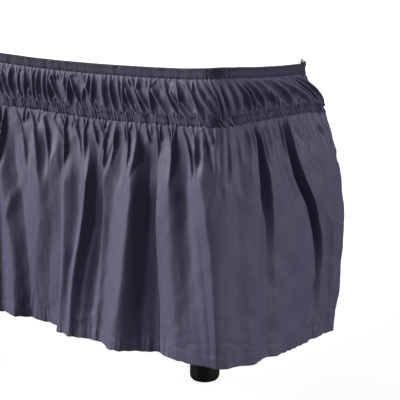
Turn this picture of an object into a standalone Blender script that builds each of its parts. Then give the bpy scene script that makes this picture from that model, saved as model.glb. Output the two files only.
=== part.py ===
"""A wrap-around bed skirt, fitted on a plain upholstered bed base.

The skirt goes round both long sides and the foot end of the base and turns a short way onto the head end. From the
top down it is an elastic band, a puffed heading, a second elastic band and a long gathered drop with a hem. A pin
holds each end of the top band. Metres, +Z up. The origin is on the floor under the middle of the base, and the head
end is at +Y.
"""

import math
import random
from collections import namedtuple

import bmesh
import bpy

# The base.
BED_WIDTH = 0.96
BED_LENGTH = 1.89
BASE_BOTTOM = 0.060
BASE_TOP = 0.466
CORNER_RADIUS = 0.035
CORNER_STEPS = 8
RIM_ROUND = 0.008
RIM_STEPS = 2

# The feet.
FOOT_RADIUS = 0.0215
FOOT_NECK_RADIUS = 0.019
FOOT_FLAT_RADIUS = 0.015
FOOT_ROUND_HEIGHT = 0.009
FOOT_SIDES = 16
FOOT_FROM_SIDE = 0.049
FOOT_FROM_END = 0.071

# The bands. The height is that of a band's top edge where it hangs highest; between such places it sags.
BAND_WIDTH = 0.0156
BAND_INNER = 0.0004
BAND_OUTER = 0.0038
TOP_BAND_TOP = 0.4590
LOWER_BAND_TOP = 0.3935
TOP_BAND_SAG = 0.0075
LOWER_BAND_SAG = 0.0065
SAGS_ON_LONG_SIDE = 4
SAGS_ON_FOOT_END = 2
TOP_BAND_RETURN = 0.1735
LOWER_BAND_RETURN = 0.2065
LOOSE_END_FROM = 0.06
LOOSE_END_GAP = 0.008
BAND_STEP = 0.05
BAND_CLOSEST = 0.004

# The cloth. Every stand-off is measured outwards from the base's faces to the cloth's outer face.
CLOTH_THICKNESS = 0.0015
CLOTH_AT_BAND = 0.0036
SEAM_GAP = 0.0003
HEM_HEIGHT = 0.0506
HEM_WAVE = 0.0015
HEM_WAVE_LENGTH = 0.31

# The heading's folds.
HEADING_PITCH = 0.0265
HEADING_CREST = 0.0135
HEADING_VALLEY = 0.0052
HEADING_UNEVEN = 0.15
HEADING_JITTER = 0.22
HEADING_LEAN = LOWER_BAND_RETURN - TOP_BAND_RETURN
HEADING_LEAN_FADE = 0.55

# The drop's folds: how far down the drop each column of the tables below lies, as a fraction of its length.
FOLD_LEVELS = (0.03, 0.21, 0.43, 0.70, 1.0)
DROP_ROWS = (0.0, 0.07, 0.25, 0.55, 1.0)
SHOULDERS = (0.17, 0.83)
WIDEST_STEP = 0.026
WIDEST_CORNER_STEP = 0.014
PLAIN_PITCH = 0.058

# The pins.
PIN_RADIUS = 0.0028
PIN_THICKNESS = 0.0026
PIN_RETURN = 0.164
PIN_ABOVE_BAND_TOP = 0.0025
PIN_SIDES = 12

QUARTER = CORNER_RADIUS * math.pi / 2
LONG_RUN = BED_LENGTH - 2 * CORNER_RADIUS
SHORT_RUN = BED_WIDTH - 2 * CORNER_RADIUS
LONG_SIDE = LONG_RUN + QUARTER
FOOT_END = SHORT_RUN + QUARTER
FAR_CORNER = 2 * LONG_SIDE + FOOT_END
CORNERS = (0.0, LONG_SIDE, LONG_SIDE + FOOT_END, FAR_CORNER)

# The height of each band's top edge near a head-end corner, by the distance from the corner's middle along the base's
# outline: below zero on the head end, above it down the long side.
BandHeights = namedtuple("BandHeights", "place top_band lower_band")
NEAR_CORNER = (
    BandHeights(-0.210, 0.4536, 0.3950),
    BandHeights(-0.165, 0.4528, 0.3985),
    BandHeights(-0.115, 0.4531, 0.3967),
    BandHeights(-0.065, 0.4546, 0.3953),
    BandHeights(-0.025, 0.4570, 0.3944),
    BandHeights(0.000, 0.4576, 0.3925),
    BandHeights(0.030, 0.4556, 0.3919),
    BandHeights(0.065, 0.4537, 0.3904),
    BandHeights(0.120, 0.4526, 0.3889),
    BandHeights(0.213, 0.4520, 0.3868),
    BandHeights(0.300, 0.4529, 0.3895),
    BandHeights(0.360, 0.4546, 0.3915),
    BandHeights(0.422, 0.4576, 0.3925),
    BandHeights(LONG_SIDE / SAGS_ON_LONG_SIDE, TOP_BAND_TOP, LOWER_BAND_TOP),
)

# One line down the drop, such as a crest, a valley or a shoulder between them. `places` are distances from the middle
# of the head-end corner, along the side that the table is for, and `stands` are stand-offs, both at the FOLD_LEVELS.
Fold = namedtuple("Fold", "places stands")

# Along the head end, from the corner to the free edge. Each deep valley lies close behind a steep lip.
HEAD_FOLDS = (
    Fold((0.024, 0.016, 0.014, 0.014, 0.015), (0.006, 0.013, 0.018, 0.021, 0.026)),  # valley
    Fold((0.036, 0.033, 0.036, 0.033, 0.030), (0.013, 0.023, 0.027, 0.030, 0.031)),  # crest
    Fold((0.0465, 0.043, 0.052, 0.050, 0.042), (0.014, 0.024, 0.029, 0.030, 0.031)),  # lip
    Fold((0.0505, 0.0515, 0.0605, 0.060, 0.056), (0.0045, 0.006, 0.010, 0.020, 0.0255)),  # valley
    Fold((0.057, 0.067, 0.075, 0.074, 0.072), (0.013, 0.021, 0.0275, 0.029, 0.030)),  # lip
    Fold((0.082, 0.088, 0.105, 0.110, 0.110), (0.014, 0.024, 0.031, 0.032, 0.031)),  # crest
    Fold((0.1065, 0.110, 0.145, 0.158, 0.145), (0.014, 0.027, 0.033, 0.033, 0.031)),  # lip
    Fold((0.112, 0.120, 0.154, 0.168, 0.158), (0.005, 0.007, 0.012, 0.023, 0.0255)),  # valley
    Fold((0.120, 0.136, 0.1685, 0.181, 0.172), (0.013, 0.026, 0.036, 0.036, 0.030)),  # lip
    Fold((0.160, 0.176, 0.198, 0.206, 0.200), (0.017, 0.032, 0.040, 0.038, 0.029)),  # crest
    Fold((0.2105, 0.2175, 0.228, 0.229, 0.2235), (0.020, 0.035, 0.040, 0.037, 0.027)),  # free edge
)

# Down the long side, from the crest that runs down beside the corner.
SIDE_FOLDS = (
    Fold((0.038, 0.0215, 0.014, 0.0106, 0.0075), (0.013, 0.021, 0.027, 0.032, 0.034)),  # corner crest
    Fold((0.056, 0.048, 0.040, 0.043, 0.024), (0.005, 0.008, 0.012, 0.017, 0.024)),  # valley
    Fold((0.077, 0.072, 0.067, 0.060, 0.050), (0.013, 0.021, 0.025, 0.026, 0.028)),  # crest
    Fold((0.095, 0.094, 0.093, 0.088, 0.082), (0.010, 0.017, 0.021, 0.021, 0.022)),  # shoulder
    Fold((0.108, 0.106, 0.104, 0.098, 0.092), (0.0045, 0.0045, 0.005, 0.009, 0.016)),  # deep valley
    Fold((0.116, 0.117, 0.118, 0.118, 0.112), (0.0045, 0.006, 0.009, 0.016, 0.026)),  # shoulder
    Fold((0.134, 0.135, 0.140, 0.145, 0.155), (0.014, 0.024, 0.032, 0.041, 0.050)),  # broad crest
    Fold((0.166, 0.172, 0.181, 0.189, 0.199), (0.007, 0.0135, 0.019, 0.0235, 0.029)),  # valley
    Fold((0.2025, 0.197, 0.194, 0.199, 0.206), (0.013, 0.019, 0.022, 0.025, 0.031)),  # thin crest
    Fold((0.209, 0.205, 0.203, 0.211, 0.219), (0.006, 0.008, 0.009, 0.014, 0.026)),  # valley
    Fold((0.219, 0.217, 0.216, 0.228, 0.238), (0.005, 0.009, 0.012, 0.022, 0.033)),  # shoulder
    Fold((0.238, 0.227, 0.229, 0.243, 0.252), (0.014, 0.023, 0.030, 0.037, 0.041)),  # sharp crest
    Fold((0.256, 0.249, 0.245, 0.256, 0.267), (0.006, 0.013, 0.020, 0.030, 0.036)),  # valley
    Fold((0.278, 0.273, 0.270, 0.268, 0.281), (0.014, 0.021, 0.028, 0.035, 0.036)),  # thin crest
    Fold((0.292, 0.287, 0.285, 0.288, 0.300), (0.007, 0.013, 0.018, 0.020, 0.016)),  # valley
    Fold((0.320, 0.310, 0.300, 0.312, 0.322), (0.010, 0.018, 0.021, 0.018, 0.013)),  # flat
    Fold((0.358, 0.337, 0.322, 0.338, 0.346), (0.014, 0.023, 0.027, 0.023, 0.016)),  # crest
    Fold((0.396, 0.384, 0.362, 0.356, 0.359), (0.005, 0.008, 0.013, 0.017, 0.011)),  # valley
    Fold((0.422, 0.410, 0.388, 0.370, 0.378), (0.013, 0.021, 0.030, 0.033, 0.029)),  # crest
    Fold((0.450, 0.446, 0.435, 0.424, 0.420), (0.005, 0.008, 0.011, 0.016, 0.020)),  # valley
    Fold((0.472, 0.464, 0.452, 0.443, 0.440), (0.013, 0.019, 0.026, 0.030, 0.032)),  # crest
)

# Lowest and highest stand-off of the other folds, at the FOLD_LEVELS.
PLAIN_CREST = ((0.012, 0.014), (0.018, 0.024), (0.023, 0.033), (0.026, 0.040), (0.028, 0.046))
PLAIN_VALLEY = ((0.0045, 0.006), (0.0055, 0.010), (0.008, 0.014), (0.010, 0.020), (0.014, 0.025))
PLAIN_JITTER = 0.16
PLAIN_DRIFT = 0.11


def mix(a, b, w):
    return a + (b - a) * w


def smooth(x):
    x = min(max(x, 0.0), 1.0)
    return x * x * (3 - 2 * x)


def outline(place, stand):
    """The point at this distance along the base's outline and this far outside it, as x, y.

    Places run from the middle of the head-end corner at +X, +Y down the long side.
    """
    run = (place + QUARTER / 2) % (2 * (LONG_SIDE + FOOT_END))
    half_width, half_length = BED_WIDTH / 2 - CORNER_RADIUS, BED_LENGTH / 2 - CORNER_RADIUS
    centres = ((1, 1, LONG_RUN), (1, -1, SHORT_RUN), (-1, -1, LONG_RUN), (-1, 1, SHORT_RUN))
    for turn, (side_x, side_y, straight) in enumerate(centres):
        start = math.pi / 2 * (1 - turn)
        cx, cy = side_x * half_width, side_y * half_length
        radius = CORNER_RADIUS + stand
        if run < QUARTER:
            angle = start - run / CORNER_RADIUS
            return cx + radius * math.cos(angle), cy + radius * math.sin(angle)
        run -= QUARTER
        if run < straight:
            angle = start - math.pi / 2
            nx, ny = math.cos(angle), math.sin(angle)
            return cx + radius * nx + run * ny, cy + radius * ny - run * nx
        run -= straight
    raise ValueError("a place past the end of the outline")


def sag(place):
    """From 0 where a band hangs highest to 1 where it hangs lowest."""
    if place < LONG_SIDE:
        phase = place / LONG_SIDE * SAGS_ON_LONG_SIDE
    elif place < LONG_SIDE + FOOT_END:
        phase = (place - LONG_SIDE) / FOOT_END * SAGS_ON_FOOT_END
    else:
        phase = (place - FAR_CORNER) / LONG_SIDE * SAGS_ON_LONG_SIDE
    return math.sin(math.pi * phase) ** 2


def past_corner(place):
    """How far a place lies past a head-end corner, on the head end."""
    return max(-place, place - FAR_CORNER, 0.0)


def loose(place):
    """How far the lower band stands off the head end, towards its free end."""
    return LOOSE_END_GAP * smooth((past_corner(place) - LOOSE_END_FROM) / (LOWER_BAND_RETURN - LOOSE_END_FROM))


def band_height(place, band, highest, deepest_sag):
    """The height of a band's top edge, from the table near a head-end corner and from even sags everywhere else."""
    from_corner = min(place, FAR_CORNER - place)
    if from_corner >= NEAR_CORNER[-1].place:
        return highest - deepest_sag * sag(place)
    above = max(i for i, row in enumerate(NEAR_CORNER[:-1]) if i == 0 or row.place <= from_corner)
    start, end = NEAR_CORNER[above : above + 2]
    way = max((from_corner - start.place) / (end.place - start.place), 0.0)
    return mix(getattr(start, band), getattr(end, band), way)


def top_band_top(place):
    return band_height(place, "top_band", TOP_BAND_TOP, TOP_BAND_SAG)


def lower_band_top(place):
    return band_height(place, "lower_band", LOWER_BAND_TOP, LOWER_BAND_SAG)


def hem_height(place):
    return HEM_HEIGHT + HEM_WAVE * math.sin(2 * math.pi * place / HEM_WAVE_LENGTH)


def at_level(values, down):
    """Values given at the FOLD_LEVELS, read at a fraction of the drop's length."""
    if down <= FOLD_LEVELS[0]:
        return values[0]
    above = max(i for i, level in enumerate(FOLD_LEVELS[:-1]) if level <= down)
    upper, lower = FOLD_LEVELS[above : above + 2]
    way = (down - upper) / (lower - upper)
    return mix(values[above], values[above + 1], (way + smooth(way)) / 2)


def plain_folds(start, end):
    """Valley and crest in turn between two crests, by the same rule all the way round."""
    random.seed(11)
    count = round((end - start) / PLAIN_PITCH)
    half = (end - start) / count / 2
    folds = []
    for i in range(1, 2 * count):
        place = start + (i + random.uniform(-PLAIN_JITTER, PLAIN_JITTER) * 2) * half
        drift = random.uniform(-PLAIN_DRIFT, PLAIN_DRIFT) * 2 * half
        places = tuple(place + drift * (level - 0.5) * 2 for level in FOLD_LEVELS)
        kind = PLAIN_VALLEY if i % 2 else PLAIN_CREST
        size = random.random()
        folds.append(Fold(places, tuple(mix(low, high, size) for low, high in kind)))
    return folds


def mirrored(folds):
    """The same folds at the other head-end corner."""
    return [Fold(tuple(FAR_CORNER - place for place in fold.places), fold.stands) for fold in reversed(folds)]


def all_folds():
    """Every line of the drop, from one free edge to the other. Places run down the +X side from its corner."""
    near = [Fold(tuple(-place for place in fold.places), fold.stands) for fold in reversed(HEAD_FOLDS)]
    near += SIDE_FOLDS
    far = mirrored(near[: len(HEAD_FOLDS) + 1])
    start = near[-1].places[2]
    end = far[0].places[2]
    return near + plain_folds(start, end) + far


def fold_point(folds, along, down):
    """The place and stand-off at `along` lines and `down` the drop."""
    i = min(int(along), len(folds) - 2)
    across = along - i
    places = [at_level(folds[k].places, down) for k in (i, i + 1)]
    stands = [at_level(folds[k].stands, down) for k in (i, i + 1)]
    ease = (1 - math.cos(math.pi * across)) / 2
    place, stand = mix(places[0], places[1], across), mix(stands[0], stands[1], ease)
    return place, mix(CLOTH_AT_BAND + loose(place), stand, smooth(down / FOLD_LEVELS[0] / 2))


def material(name, colour, roughness, metallic=0.0):
    made = bpy.data.materials.new(name)
    made.use_nodes = True
    shader = made.node_tree.nodes["Principled BSDF"]
    shader.inputs["Base Color"].default_value = (*colour, 1.0)
    shader.inputs["Roughness"].default_value = roughness
    shader.inputs["Metallic"].default_value = metallic
    return made


def add_object(name, shape, finish, location=(0.0, 0.0, 0.0)):
    """Turns a bmesh into a named object with its material."""
    mesh = bpy.data.meshes.new(name)
    shape.to_mesh(mesh)
    shape.free()
    mesh.materials.append(finish)
    made = bpy.data.objects.new(name, mesh)
    made.location = location
    bpy.context.scene.collection.objects.link(made)
    return made


def sheet(columns, rows, point):
    """A grid whose corners are placed by point(column, row)."""
    grid = bmesh.new()
    bmesh.ops.create_grid(grid, x_segments=columns - 1, y_segments=rows - 1, size=1.0)
    for corner in grid.verts:
        column = round((corner.co.x + 1) / 2 * (columns - 1))
        row = round((1 - corner.co.y) / 2 * (rows - 1))
        corner.co = point(column, row)
    bmesh.ops.reverse_faces(grid, faces=grid.faces)
    return grid


def thicken(cloth, thickness):
    """Gives a sheet its thickness on the side that faces the base."""
    wall = cloth.modifiers.new("thickness", "SOLIDIFY")
    wall.thickness = thickness
    wall.offset = -1.0
    wall.use_rim = True


def base_object(finish):
    box = bmesh.new()
    bmesh.ops.create_cube(box, size=1.0)
    height = BASE_TOP - BASE_BOTTOM
    bmesh.ops.scale(box, vec=(BED_WIDTH, BED_LENGTH, height), verts=box.verts)
    bmesh.ops.translate(box, vec=(0, 0, BASE_BOTTOM + height / 2), verts=box.verts)
    upright = [edge for edge in box.edges if abs(edge.verts[0].co.z - edge.verts[1].co.z) > height / 2]
    bmesh.ops.bevel(box, geom=upright, offset=CORNER_RADIUS, segments=CORNER_STEPS, profile=0.5, affect="EDGES")
    rims = [edge for edge in box.edges if edge.is_manifold and edge.calc_face_angle() > math.radians(60)]
    bmesh.ops.bevel(box, geom=rims, offset=RIM_ROUND, segments=RIM_STEPS, profile=0.5, affect="EDGES")
    return add_object("bed_base", box, finish)


def turned(profile, sides):
    """A solid turned about Z from a profile of (radius, height) that starts and ends on the axis."""
    shape = bmesh.new()
    points = [shape.verts.new((radius, 0.0, height)) for radius, height in profile]
    edges = [shape.edges.new(pair) for pair in zip(points, points[1:])]
    bmesh.ops.spin(
        shape, geom=points + edges, axis=(0, 0, 1), cent=(0, 0, 0), angle=2 * math.pi, steps=sides, use_merge=True
    )
    bmesh.ops.remove_doubles(shape, verts=shape.verts, dist=0.00001)
    bmesh.ops.recalc_face_normals(shape, faces=shape.faces)
    return shape


def foot_object(name, x, y, finish):
    top = BASE_BOTTOM - SEAM_GAP
    profile = (
        (0.0, 0.0),
        (FOOT_FLAT_RADIUS, 0.0),
        (mix(FOOT_FLAT_RADIUS, FOOT_RADIUS, 0.6), FOOT_ROUND_HEIGHT * 0.22),
        (FOOT_RADIUS, FOOT_ROUND_HEIGHT),
        (FOOT_RADIUS, FOOT_ROUND_HEIGHT * 2),
        (FOOT_NECK_RADIUS, top),
        (0.0, top),
    )
    foot = turned(profile, FOOT_SIDES)
    made = add_object(name, foot, finish, (x, y, 0.0))
    made.data.shade_smooth()
    return made


def band_places(reach):
    """Places along a band: even steps on the straight runs, closer ones round each corner, and the table's places."""
    ends = [-reach]
    for corner in CORNERS:
        ends += [corner - QUARTER / 2, corner + QUARTER / 2]
    ends.append(FAR_CORNER + reach)
    places = []
    for turn, (start, end) in enumerate(zip(ends, ends[1:])):
        steps = CORNER_STEPS if turn % 2 else math.ceil((end - start) / BAND_STEP)
        places += [mix(start, end, i / steps) for i in range(steps)]
    places.append(ends[-1])
    for row in NEAR_CORNER:
        for place in (row.place, FAR_CORNER - row.place):
            if ends[0] < place < ends[-1] and min(abs(place - other) for other in places) > BAND_CLOSEST:
                places.append(place)
    return sorted(places)


def band_object(name, reach, top, stand, finish):
    """A covered elastic: a flat strip, from one end on the head end round to the other."""
    places = band_places(reach)

    def point(column, row):
        place = places[column]
        x, y = outline(place, BAND_OUTER + stand(place))
        return x, y, top(place) - row * BAND_WIDTH

    band = add_object(name, sheet(len(places), 2, point), finish)
    thicken(band, BAND_OUTER - BAND_INNER)
    return band


def heading_lean(place):
    """How far a fold of the heading moves along the outline on its way down, always towards the nearer free end."""
    from_near = place + TOP_BAND_RETURN
    from_far = FAR_CORNER + TOP_BAND_RETURN - place
    near_lean = HEADING_LEAN * (1 - smooth(from_near / HEADING_LEAN_FADE))
    far_lean = HEADING_LEAN * (1 - smooth(from_far / HEADING_LEAN_FADE))
    return far_lean - near_lean


def heading_object(finish):
    """The puffed strip between the bands: crest and valley in turn, pinched flat at both seams."""
    random.seed(23)
    length = FAR_CORNER + 2 * TOP_BAND_RETURN
    count = 2 * round(length / HEADING_PITCH) + 1
    lines = []
    for i in range(count):
        jitter = 0.0 if i in (0, count - 1) else random.uniform(-HEADING_JITTER, HEADING_JITTER)
        place = -TOP_BAND_RETURN + (i + jitter) / (count - 1) * length
        puff = HEADING_CREST if i % 2 else HEADING_VALLEY
        lines.append((place, puff * random.uniform(1 - HEADING_UNEVEN, 1 + HEADING_UNEVEN)))

    def point(column, row):
        place, puff = lines[column]
        down = row / 2
        place += heading_lean(place) * down
        high = top_band_top(place) - BAND_WIDTH - SEAM_GAP
        low = lower_band_top(place) + SEAM_GAP
        stand = puff if row == 1 else CLOTH_AT_BAND
        x, y = outline(place, stand + loose(place) * down)
        return x, y, mix(high, low, down)

    heading = add_object("heading", sheet(count, 3, point), finish)
    thicken(heading, CLOTH_THICKNESS)
    return heading


def drop_columns(folds):
    """Where the drop's columns lie, counted in folds: beside each crest and valley, and between them where it is far."""
    columns = [0.0]
    for i in range(len(folds) - 1):
        near, far = SHOULDERS
        span = max(b - a for a, b in zip(folds[i].places, folds[i + 1].places)) * (far - near)
        at_corner = any(folds[i].places[0] - QUARTER < corner < folds[i + 1].places[0] + QUARTER for corner in CORNERS)
        steps = math.ceil(span / (WIDEST_CORNER_STEP if at_corner else WIDEST_STEP))
        columns += [i + mix(near, far, k / steps) for k in range(steps + 1)]
    return columns + [len(folds) - 1.0]


def drop_object(finish):
    folds = all_folds()
    stops = drop_columns(folds)

    def point(column, row):
        down = DROP_ROWS[row]
        place, stand = fold_point(folds, stops[column], down)
        high = lower_band_top(place) - BAND_WIDTH - SEAM_GAP
        x, y = outline(place, stand)
        return x, y, mix(high, hem_height(place), down)

    drop = add_object("drop", sheet(len(stops), len(DROP_ROWS), point), finish)
    thicken(drop, CLOTH_THICKNESS)
    return drop


def pin_object(name, place, finish):
    """The domed head of a pin, flat against the band."""
    profile = [(0.0, 0.0), (PIN_RADIUS * 0.9, 0.0)]
    steps = 4
    for i in range(steps + 1):
        angle = math.pi / 2 * i / steps
        profile.append((PIN_RADIUS * math.cos(angle), PIN_THICKNESS * (0.25 + 0.75 * math.sin(angle))))
    profile[-1] = (0.0, PIN_THICKNESS)
    head = turned(profile, PIN_SIDES)
    x, y = outline(place, BAND_OUTER + SEAM_GAP)
    made = add_object(name, head, finish, (x, y, top_band_top(place) + PIN_ABOVE_BAND_TOP))
    made.rotation_euler = (-math.pi / 2, 0.0, 0.0)
    return made


def main():
    for old in list(bpy.data.objects):
        bpy.data.objects.remove(old)
    ticking = material("ivory ticking", (0.86, 0.85, 0.82), 0.8)
    microfibre = material("slate microfibre", (0.115, 0.105, 0.155), 0.5)
    elastic = material("slate elastic", (0.062, 0.058, 0.085), 0.65)
    wood = material("dark wood", (0.012, 0.008, 0.006), 0.35)
    plastic = material("white plastic", (0.85, 0.85, 0.85), 0.3)

    base_object(ticking)
    end, middle = BED_LENGTH / 2 - FOOT_FROM_END, 0.0
    side = BED_WIDTH / 2 - FOOT_FROM_SIDE
    for row, y in (("head", end), ("middle", middle), ("foot", -end)):
        for hand, x in (("left", -side), ("right", side)):
            foot_object(f"foot_{row}_{hand}", x, y, wood)
    band_object("top_band", TOP_BAND_RETURN, top_band_top, lambda place: 0.0, elastic)
    band_object("lower_band", LOWER_BAND_RETURN, lower_band_top, loose, elastic)
    heading_object(microfibre)
    drop_object(microfibre)
    pin_object("head_end_pin_right", -PIN_RETURN, plastic)
    pin_object("head_end_pin_left", FAR_CORNER + PIN_RETURN, plastic)


main()
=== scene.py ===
"""A gathered wrap-around bed skirt, fitted on a plain upholstered bed base that stands on six turned feet.

The skirt is made the way it is sewn: a ribbed elastic band, a puffed heading, a second elastic band and a
long drop with a stitched hem. Every place is in metres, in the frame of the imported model: the origin is on
the floor under the middle of the base and the head end is at +Y. A "place" is a distance along the base's
outline, measured from the middle of its head-end corner at +X down the long side, and a "stand" is a
distance outside the base's faces.
"""

import math
import random
from collections import namedtuple

import bmesh
import bpy
import numpy as np
from mathutils import Matrix, Vector


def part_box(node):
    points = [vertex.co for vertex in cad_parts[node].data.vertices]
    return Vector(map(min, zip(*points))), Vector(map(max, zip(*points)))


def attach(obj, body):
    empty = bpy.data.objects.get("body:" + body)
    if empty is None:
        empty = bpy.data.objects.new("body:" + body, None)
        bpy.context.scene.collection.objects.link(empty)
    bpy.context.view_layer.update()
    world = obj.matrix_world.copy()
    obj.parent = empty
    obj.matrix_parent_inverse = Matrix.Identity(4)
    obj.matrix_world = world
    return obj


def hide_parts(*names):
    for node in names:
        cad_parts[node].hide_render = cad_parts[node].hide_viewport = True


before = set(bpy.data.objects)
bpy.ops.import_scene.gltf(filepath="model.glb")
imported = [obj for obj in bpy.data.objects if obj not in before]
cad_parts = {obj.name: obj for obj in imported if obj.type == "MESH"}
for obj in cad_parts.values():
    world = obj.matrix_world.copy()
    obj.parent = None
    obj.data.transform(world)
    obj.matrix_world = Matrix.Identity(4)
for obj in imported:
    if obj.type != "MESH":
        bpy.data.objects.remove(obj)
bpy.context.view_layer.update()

# Sizes that the base gives.
BASE_LOW, BASE_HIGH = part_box("bed_base")
BED_WIDTH = BASE_HIGH.x - BASE_LOW.x
BED_LENGTH = BASE_HIGH.y - BASE_LOW.y
BASE_BOTTOM, BASE_TOP = BASE_LOW.z, BASE_HIGH.z
CORNER_RADIUS = 0.035
QUARTER = CORNER_RADIUS * math.pi / 2
LONG_RUN = BED_LENGTH - 2 * CORNER_RADIUS
SHORT_RUN = BED_WIDTH - 2 * CORNER_RADIUS
LONG_SIDE = LONG_RUN + QUARTER
FOOT_END = SHORT_RUN + QUARTER
FAR_CORNER = 2 * LONG_SIDE + FOOT_END

# The bands.
BAND_WIDTH = 0.0156
BAND_INNER = 0.0004
BAND_OUTER = 0.0038
TOP_BAND_TOP = 0.4590
LOWER_BAND_TOP = 0.3935
TOP_BAND_SAG = 0.0075
LOWER_BAND_SAG = 0.0065
SAGS_ON_LONG_SIDE = 4
SAGS_ON_FOOT_END = 2
TOP_BAND_RETURN = 0.1735
LOWER_BAND_RETURN = 0.2095
LOOSE_END_FROM = 0.06
LOOSE_END_GAP = 0.0105

# The height of each band's top edge near a head-end corner, by the distance from the corner's middle along
# the base's outline: below zero on the head end, above it down the long side.
BandHeights = namedtuple("BandHeights", "place top_band lower_band")
NEAR_CORNER = (
    BandHeights(-0.210, 0.4536, 0.3950),
    BandHeights(-0.165, 0.4528, 0.3985),
    BandHeights(-0.115, 0.4531, 0.3967),
    BandHeights(-0.065, 0.4546, 0.3953),
    BandHeights(-0.025, 0.4570, 0.3944),
    BandHeights(0.000, 0.4576, 0.3925),
    BandHeights(0.030, 0.4556, 0.3919),
    BandHeights(0.065, 0.4537, 0.3904),
    BandHeights(0.120, 0.4526, 0.3889),
    BandHeights(0.213, 0.4520, 0.3868),
    BandHeights(0.300, 0.4529, 0.3895),
    BandHeights(0.360, 0.4546, 0.3915),
    BandHeights(0.422, 0.4576, 0.3925),
    BandHeights(LONG_SIDE / SAGS_ON_LONG_SIDE, TOP_BAND_TOP, LOWER_BAND_TOP),
)

# The cloth, and the nearest that any of it comes to the base. Its raw edges go up or down behind a band by
# TUCK.
CLOTH_THICKNESS = 0.0009
CLOSEST_STAND = 0.0021
TUCK = 0.003

# The drop: how it leaves the lower band, the share of its fall over which it swells out (down the long
# sides, on the head end), and its hems.
DROP_AT_BAND = 0.0046
DROP_SWELLS_TO = (0.085, 0.050)
DROP_SWELL_POWER = 1.3
HEM_HEIGHT = 0.0506
HEM_WAVE = 0.0015
HEM_WAVE_LENGTH = 0.31
HEM_DEPTH = 0.018
SIDE_HEM = 0.012

# Just under the band the folds of the long sides are evened out, over a share of the fall.
EVEN_TO = 0.13
EVEN_SHARE = 0.8
GATHERED_STAND = 0.0115

# The gathers under the lower band: DROP_GATHERS places them at the band and as far as GATHERS_REACH below it,
# and they fade out over other lengths down the long sides and on the head end. Between them the cloth is
# drawn in to POCKET_STAND.
GATHERS_REACH = 0.064
SIDE_GATHERS_FADE = 1.32 * GATHERS_REACH
HEAD_GATHERS_FADE = 0.058
GATHERS_FADE_POWER = 1.05
GATHERS_CURVE = 2.4
POCKET_STAND = 0.0025
DROP_EDGE_STEP = (0.010, 0.022)

# The hem's relief, the way a free edge turns in there, and the rows of the mesh above the hem's lower edge.
PUCKER = 0.0006
PUCKER_PITCH = 0.0105
HEM_RIPPLE = 0.0006
HEM_RIPPLE_PITCH = 0.021
HEM_LAYER = 0.0002
STITCH_DRAW = 0.00018
STITCH_DRAW_WIDTH = 0.0016
TURN_IN = 0.007
HEM_ROWS = (0.0215, 0.0195, 0.0180, 0.0165, 0.0140, 0.0095, 0.0050, 0.0018, 0.0)

# The drop is joined from panels, and the seams come past these places. The meshes are finest on the first
# two panels.
PANEL_SEAMS = (0.10, 0.62, 2.10, 3.45)
FINE_PANELS = 2
FRONT_PITCH = 0.0015
OTHER_PITCH = 0.0034
FRONT_ROWS = 72
OTHER_ROWS = 34

# The heading, a puffed strip. Its ridges lean the way that its longer lower edge asks for. POCKET_PUFF is how
# much of the puff is left between them, down the long sides and on the head end.
HEADING_ROWS = 24
HEADING_STEPS = (0.0009, 0.0045)
HEADING_AT_BAND = 0.0044
HEADING_PUFF = 0.0068
HEAD_END_PUFF = 0.60
FREE_END_PUFF = 0.58
HEADING_FLOOR = 0.0024
POCKET_PUFF = (0.24, 0.05)
HEADING_CURVE = 0.62
HEADING_LEAN = LOWER_BAND_RETURN - TOP_BAND_RETURN
HEADING_LEAN_FADE = 0.55
HEADING_EDGE_STEP = (0.006, 0.013)

# The tables of gathers and ridges end here, and a rule carries them on. A ridge ends RIDGE_FOOT half widths
# from its line, and fades out over RIDGE_FADE of the way down where it doesn't cover all of it.
HAND_SET_TO = 0.446
RIDGE_FOOT = 3.0
RIDGE_FADE = 0.14

# The base's rounded rims, the piping round its top, and how far a pin's head sits above the middle of its
# node.
RIM_RADIUS = 0.008
PIPING_RADIUS = 0.0022
PIPING_STAND = -0.0030
PIPING_DROP = 0.0026
PIPING_STEPS = 420
PIPING_SIDES = 10
PIN_LIFT = 0.0022

# The camera, from the base's head-end corner.
CAMERA_FROM_CORNER = (1.2287, 0.9854, 0.5894)
CAMERA_TILT = math.radians(78.947)
CAMERA_TURN = math.radians(129.819)
CAMERA_LENS = 108.08


def add_camera():
    camera = bpy.data.objects.new("camera", bpy.data.cameras.new("camera"))
    camera.location = Vector((BED_WIDTH / 2, BED_LENGTH / 2, 0.0)) + Vector(CAMERA_FROM_CORNER)
    camera.rotation_euler = (CAMERA_TILT, 0.0, CAMERA_TURN)
    camera.data.sensor_width = 36.0
    camera.data.lens = CAMERA_LENS
    camera.data.clip_start = 0.05
    bpy.context.scene.collection.objects.link(camera)
    bpy.context.scene.camera = camera


add_camera()

# ------------------------------------------------------------------------------ places and heights


def mix(a, b, w):
    return a + (b - a) * w


def smooth(x):
    x = np.clip(x, 0.0, 1.0)
    return x * x * (3 - 2 * x)


def outline(place, stand):
    """x and y of the points at these places and stands."""
    run = np.mod(place + QUARTER / 2, 2 * (LONG_SIDE + FOOT_END))
    half_width, half_length = BED_WIDTH / 2 - CORNER_RADIUS, BED_LENGTH / 2 - CORNER_RADIUS
    x, y = np.zeros_like(run), np.zeros_like(run)
    corners = ((1, 1, LONG_RUN), (1, -1, SHORT_RUN), (-1, -1, LONG_RUN), (-1, 1, SHORT_RUN))
    for turn, (side_x, side_y, straight) in enumerate(corners):
        here = (run >= 0) & (run < QUARTER + straight)
        angle = math.pi / 2 * (1 - turn) - np.clip(run, 0, QUARTER) / CORNER_RADIUS
        past = np.clip(run - QUARTER, 0, straight)
        across, along = np.cos(angle), np.sin(angle)
        radius = CORNER_RADIUS + stand
        x = np.where(here, side_x * half_width + radius * across + past * along, x)
        y = np.where(here, side_y * half_length + radius * along - past * across, y)
        run = run - QUARTER - straight
    return x, y


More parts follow.
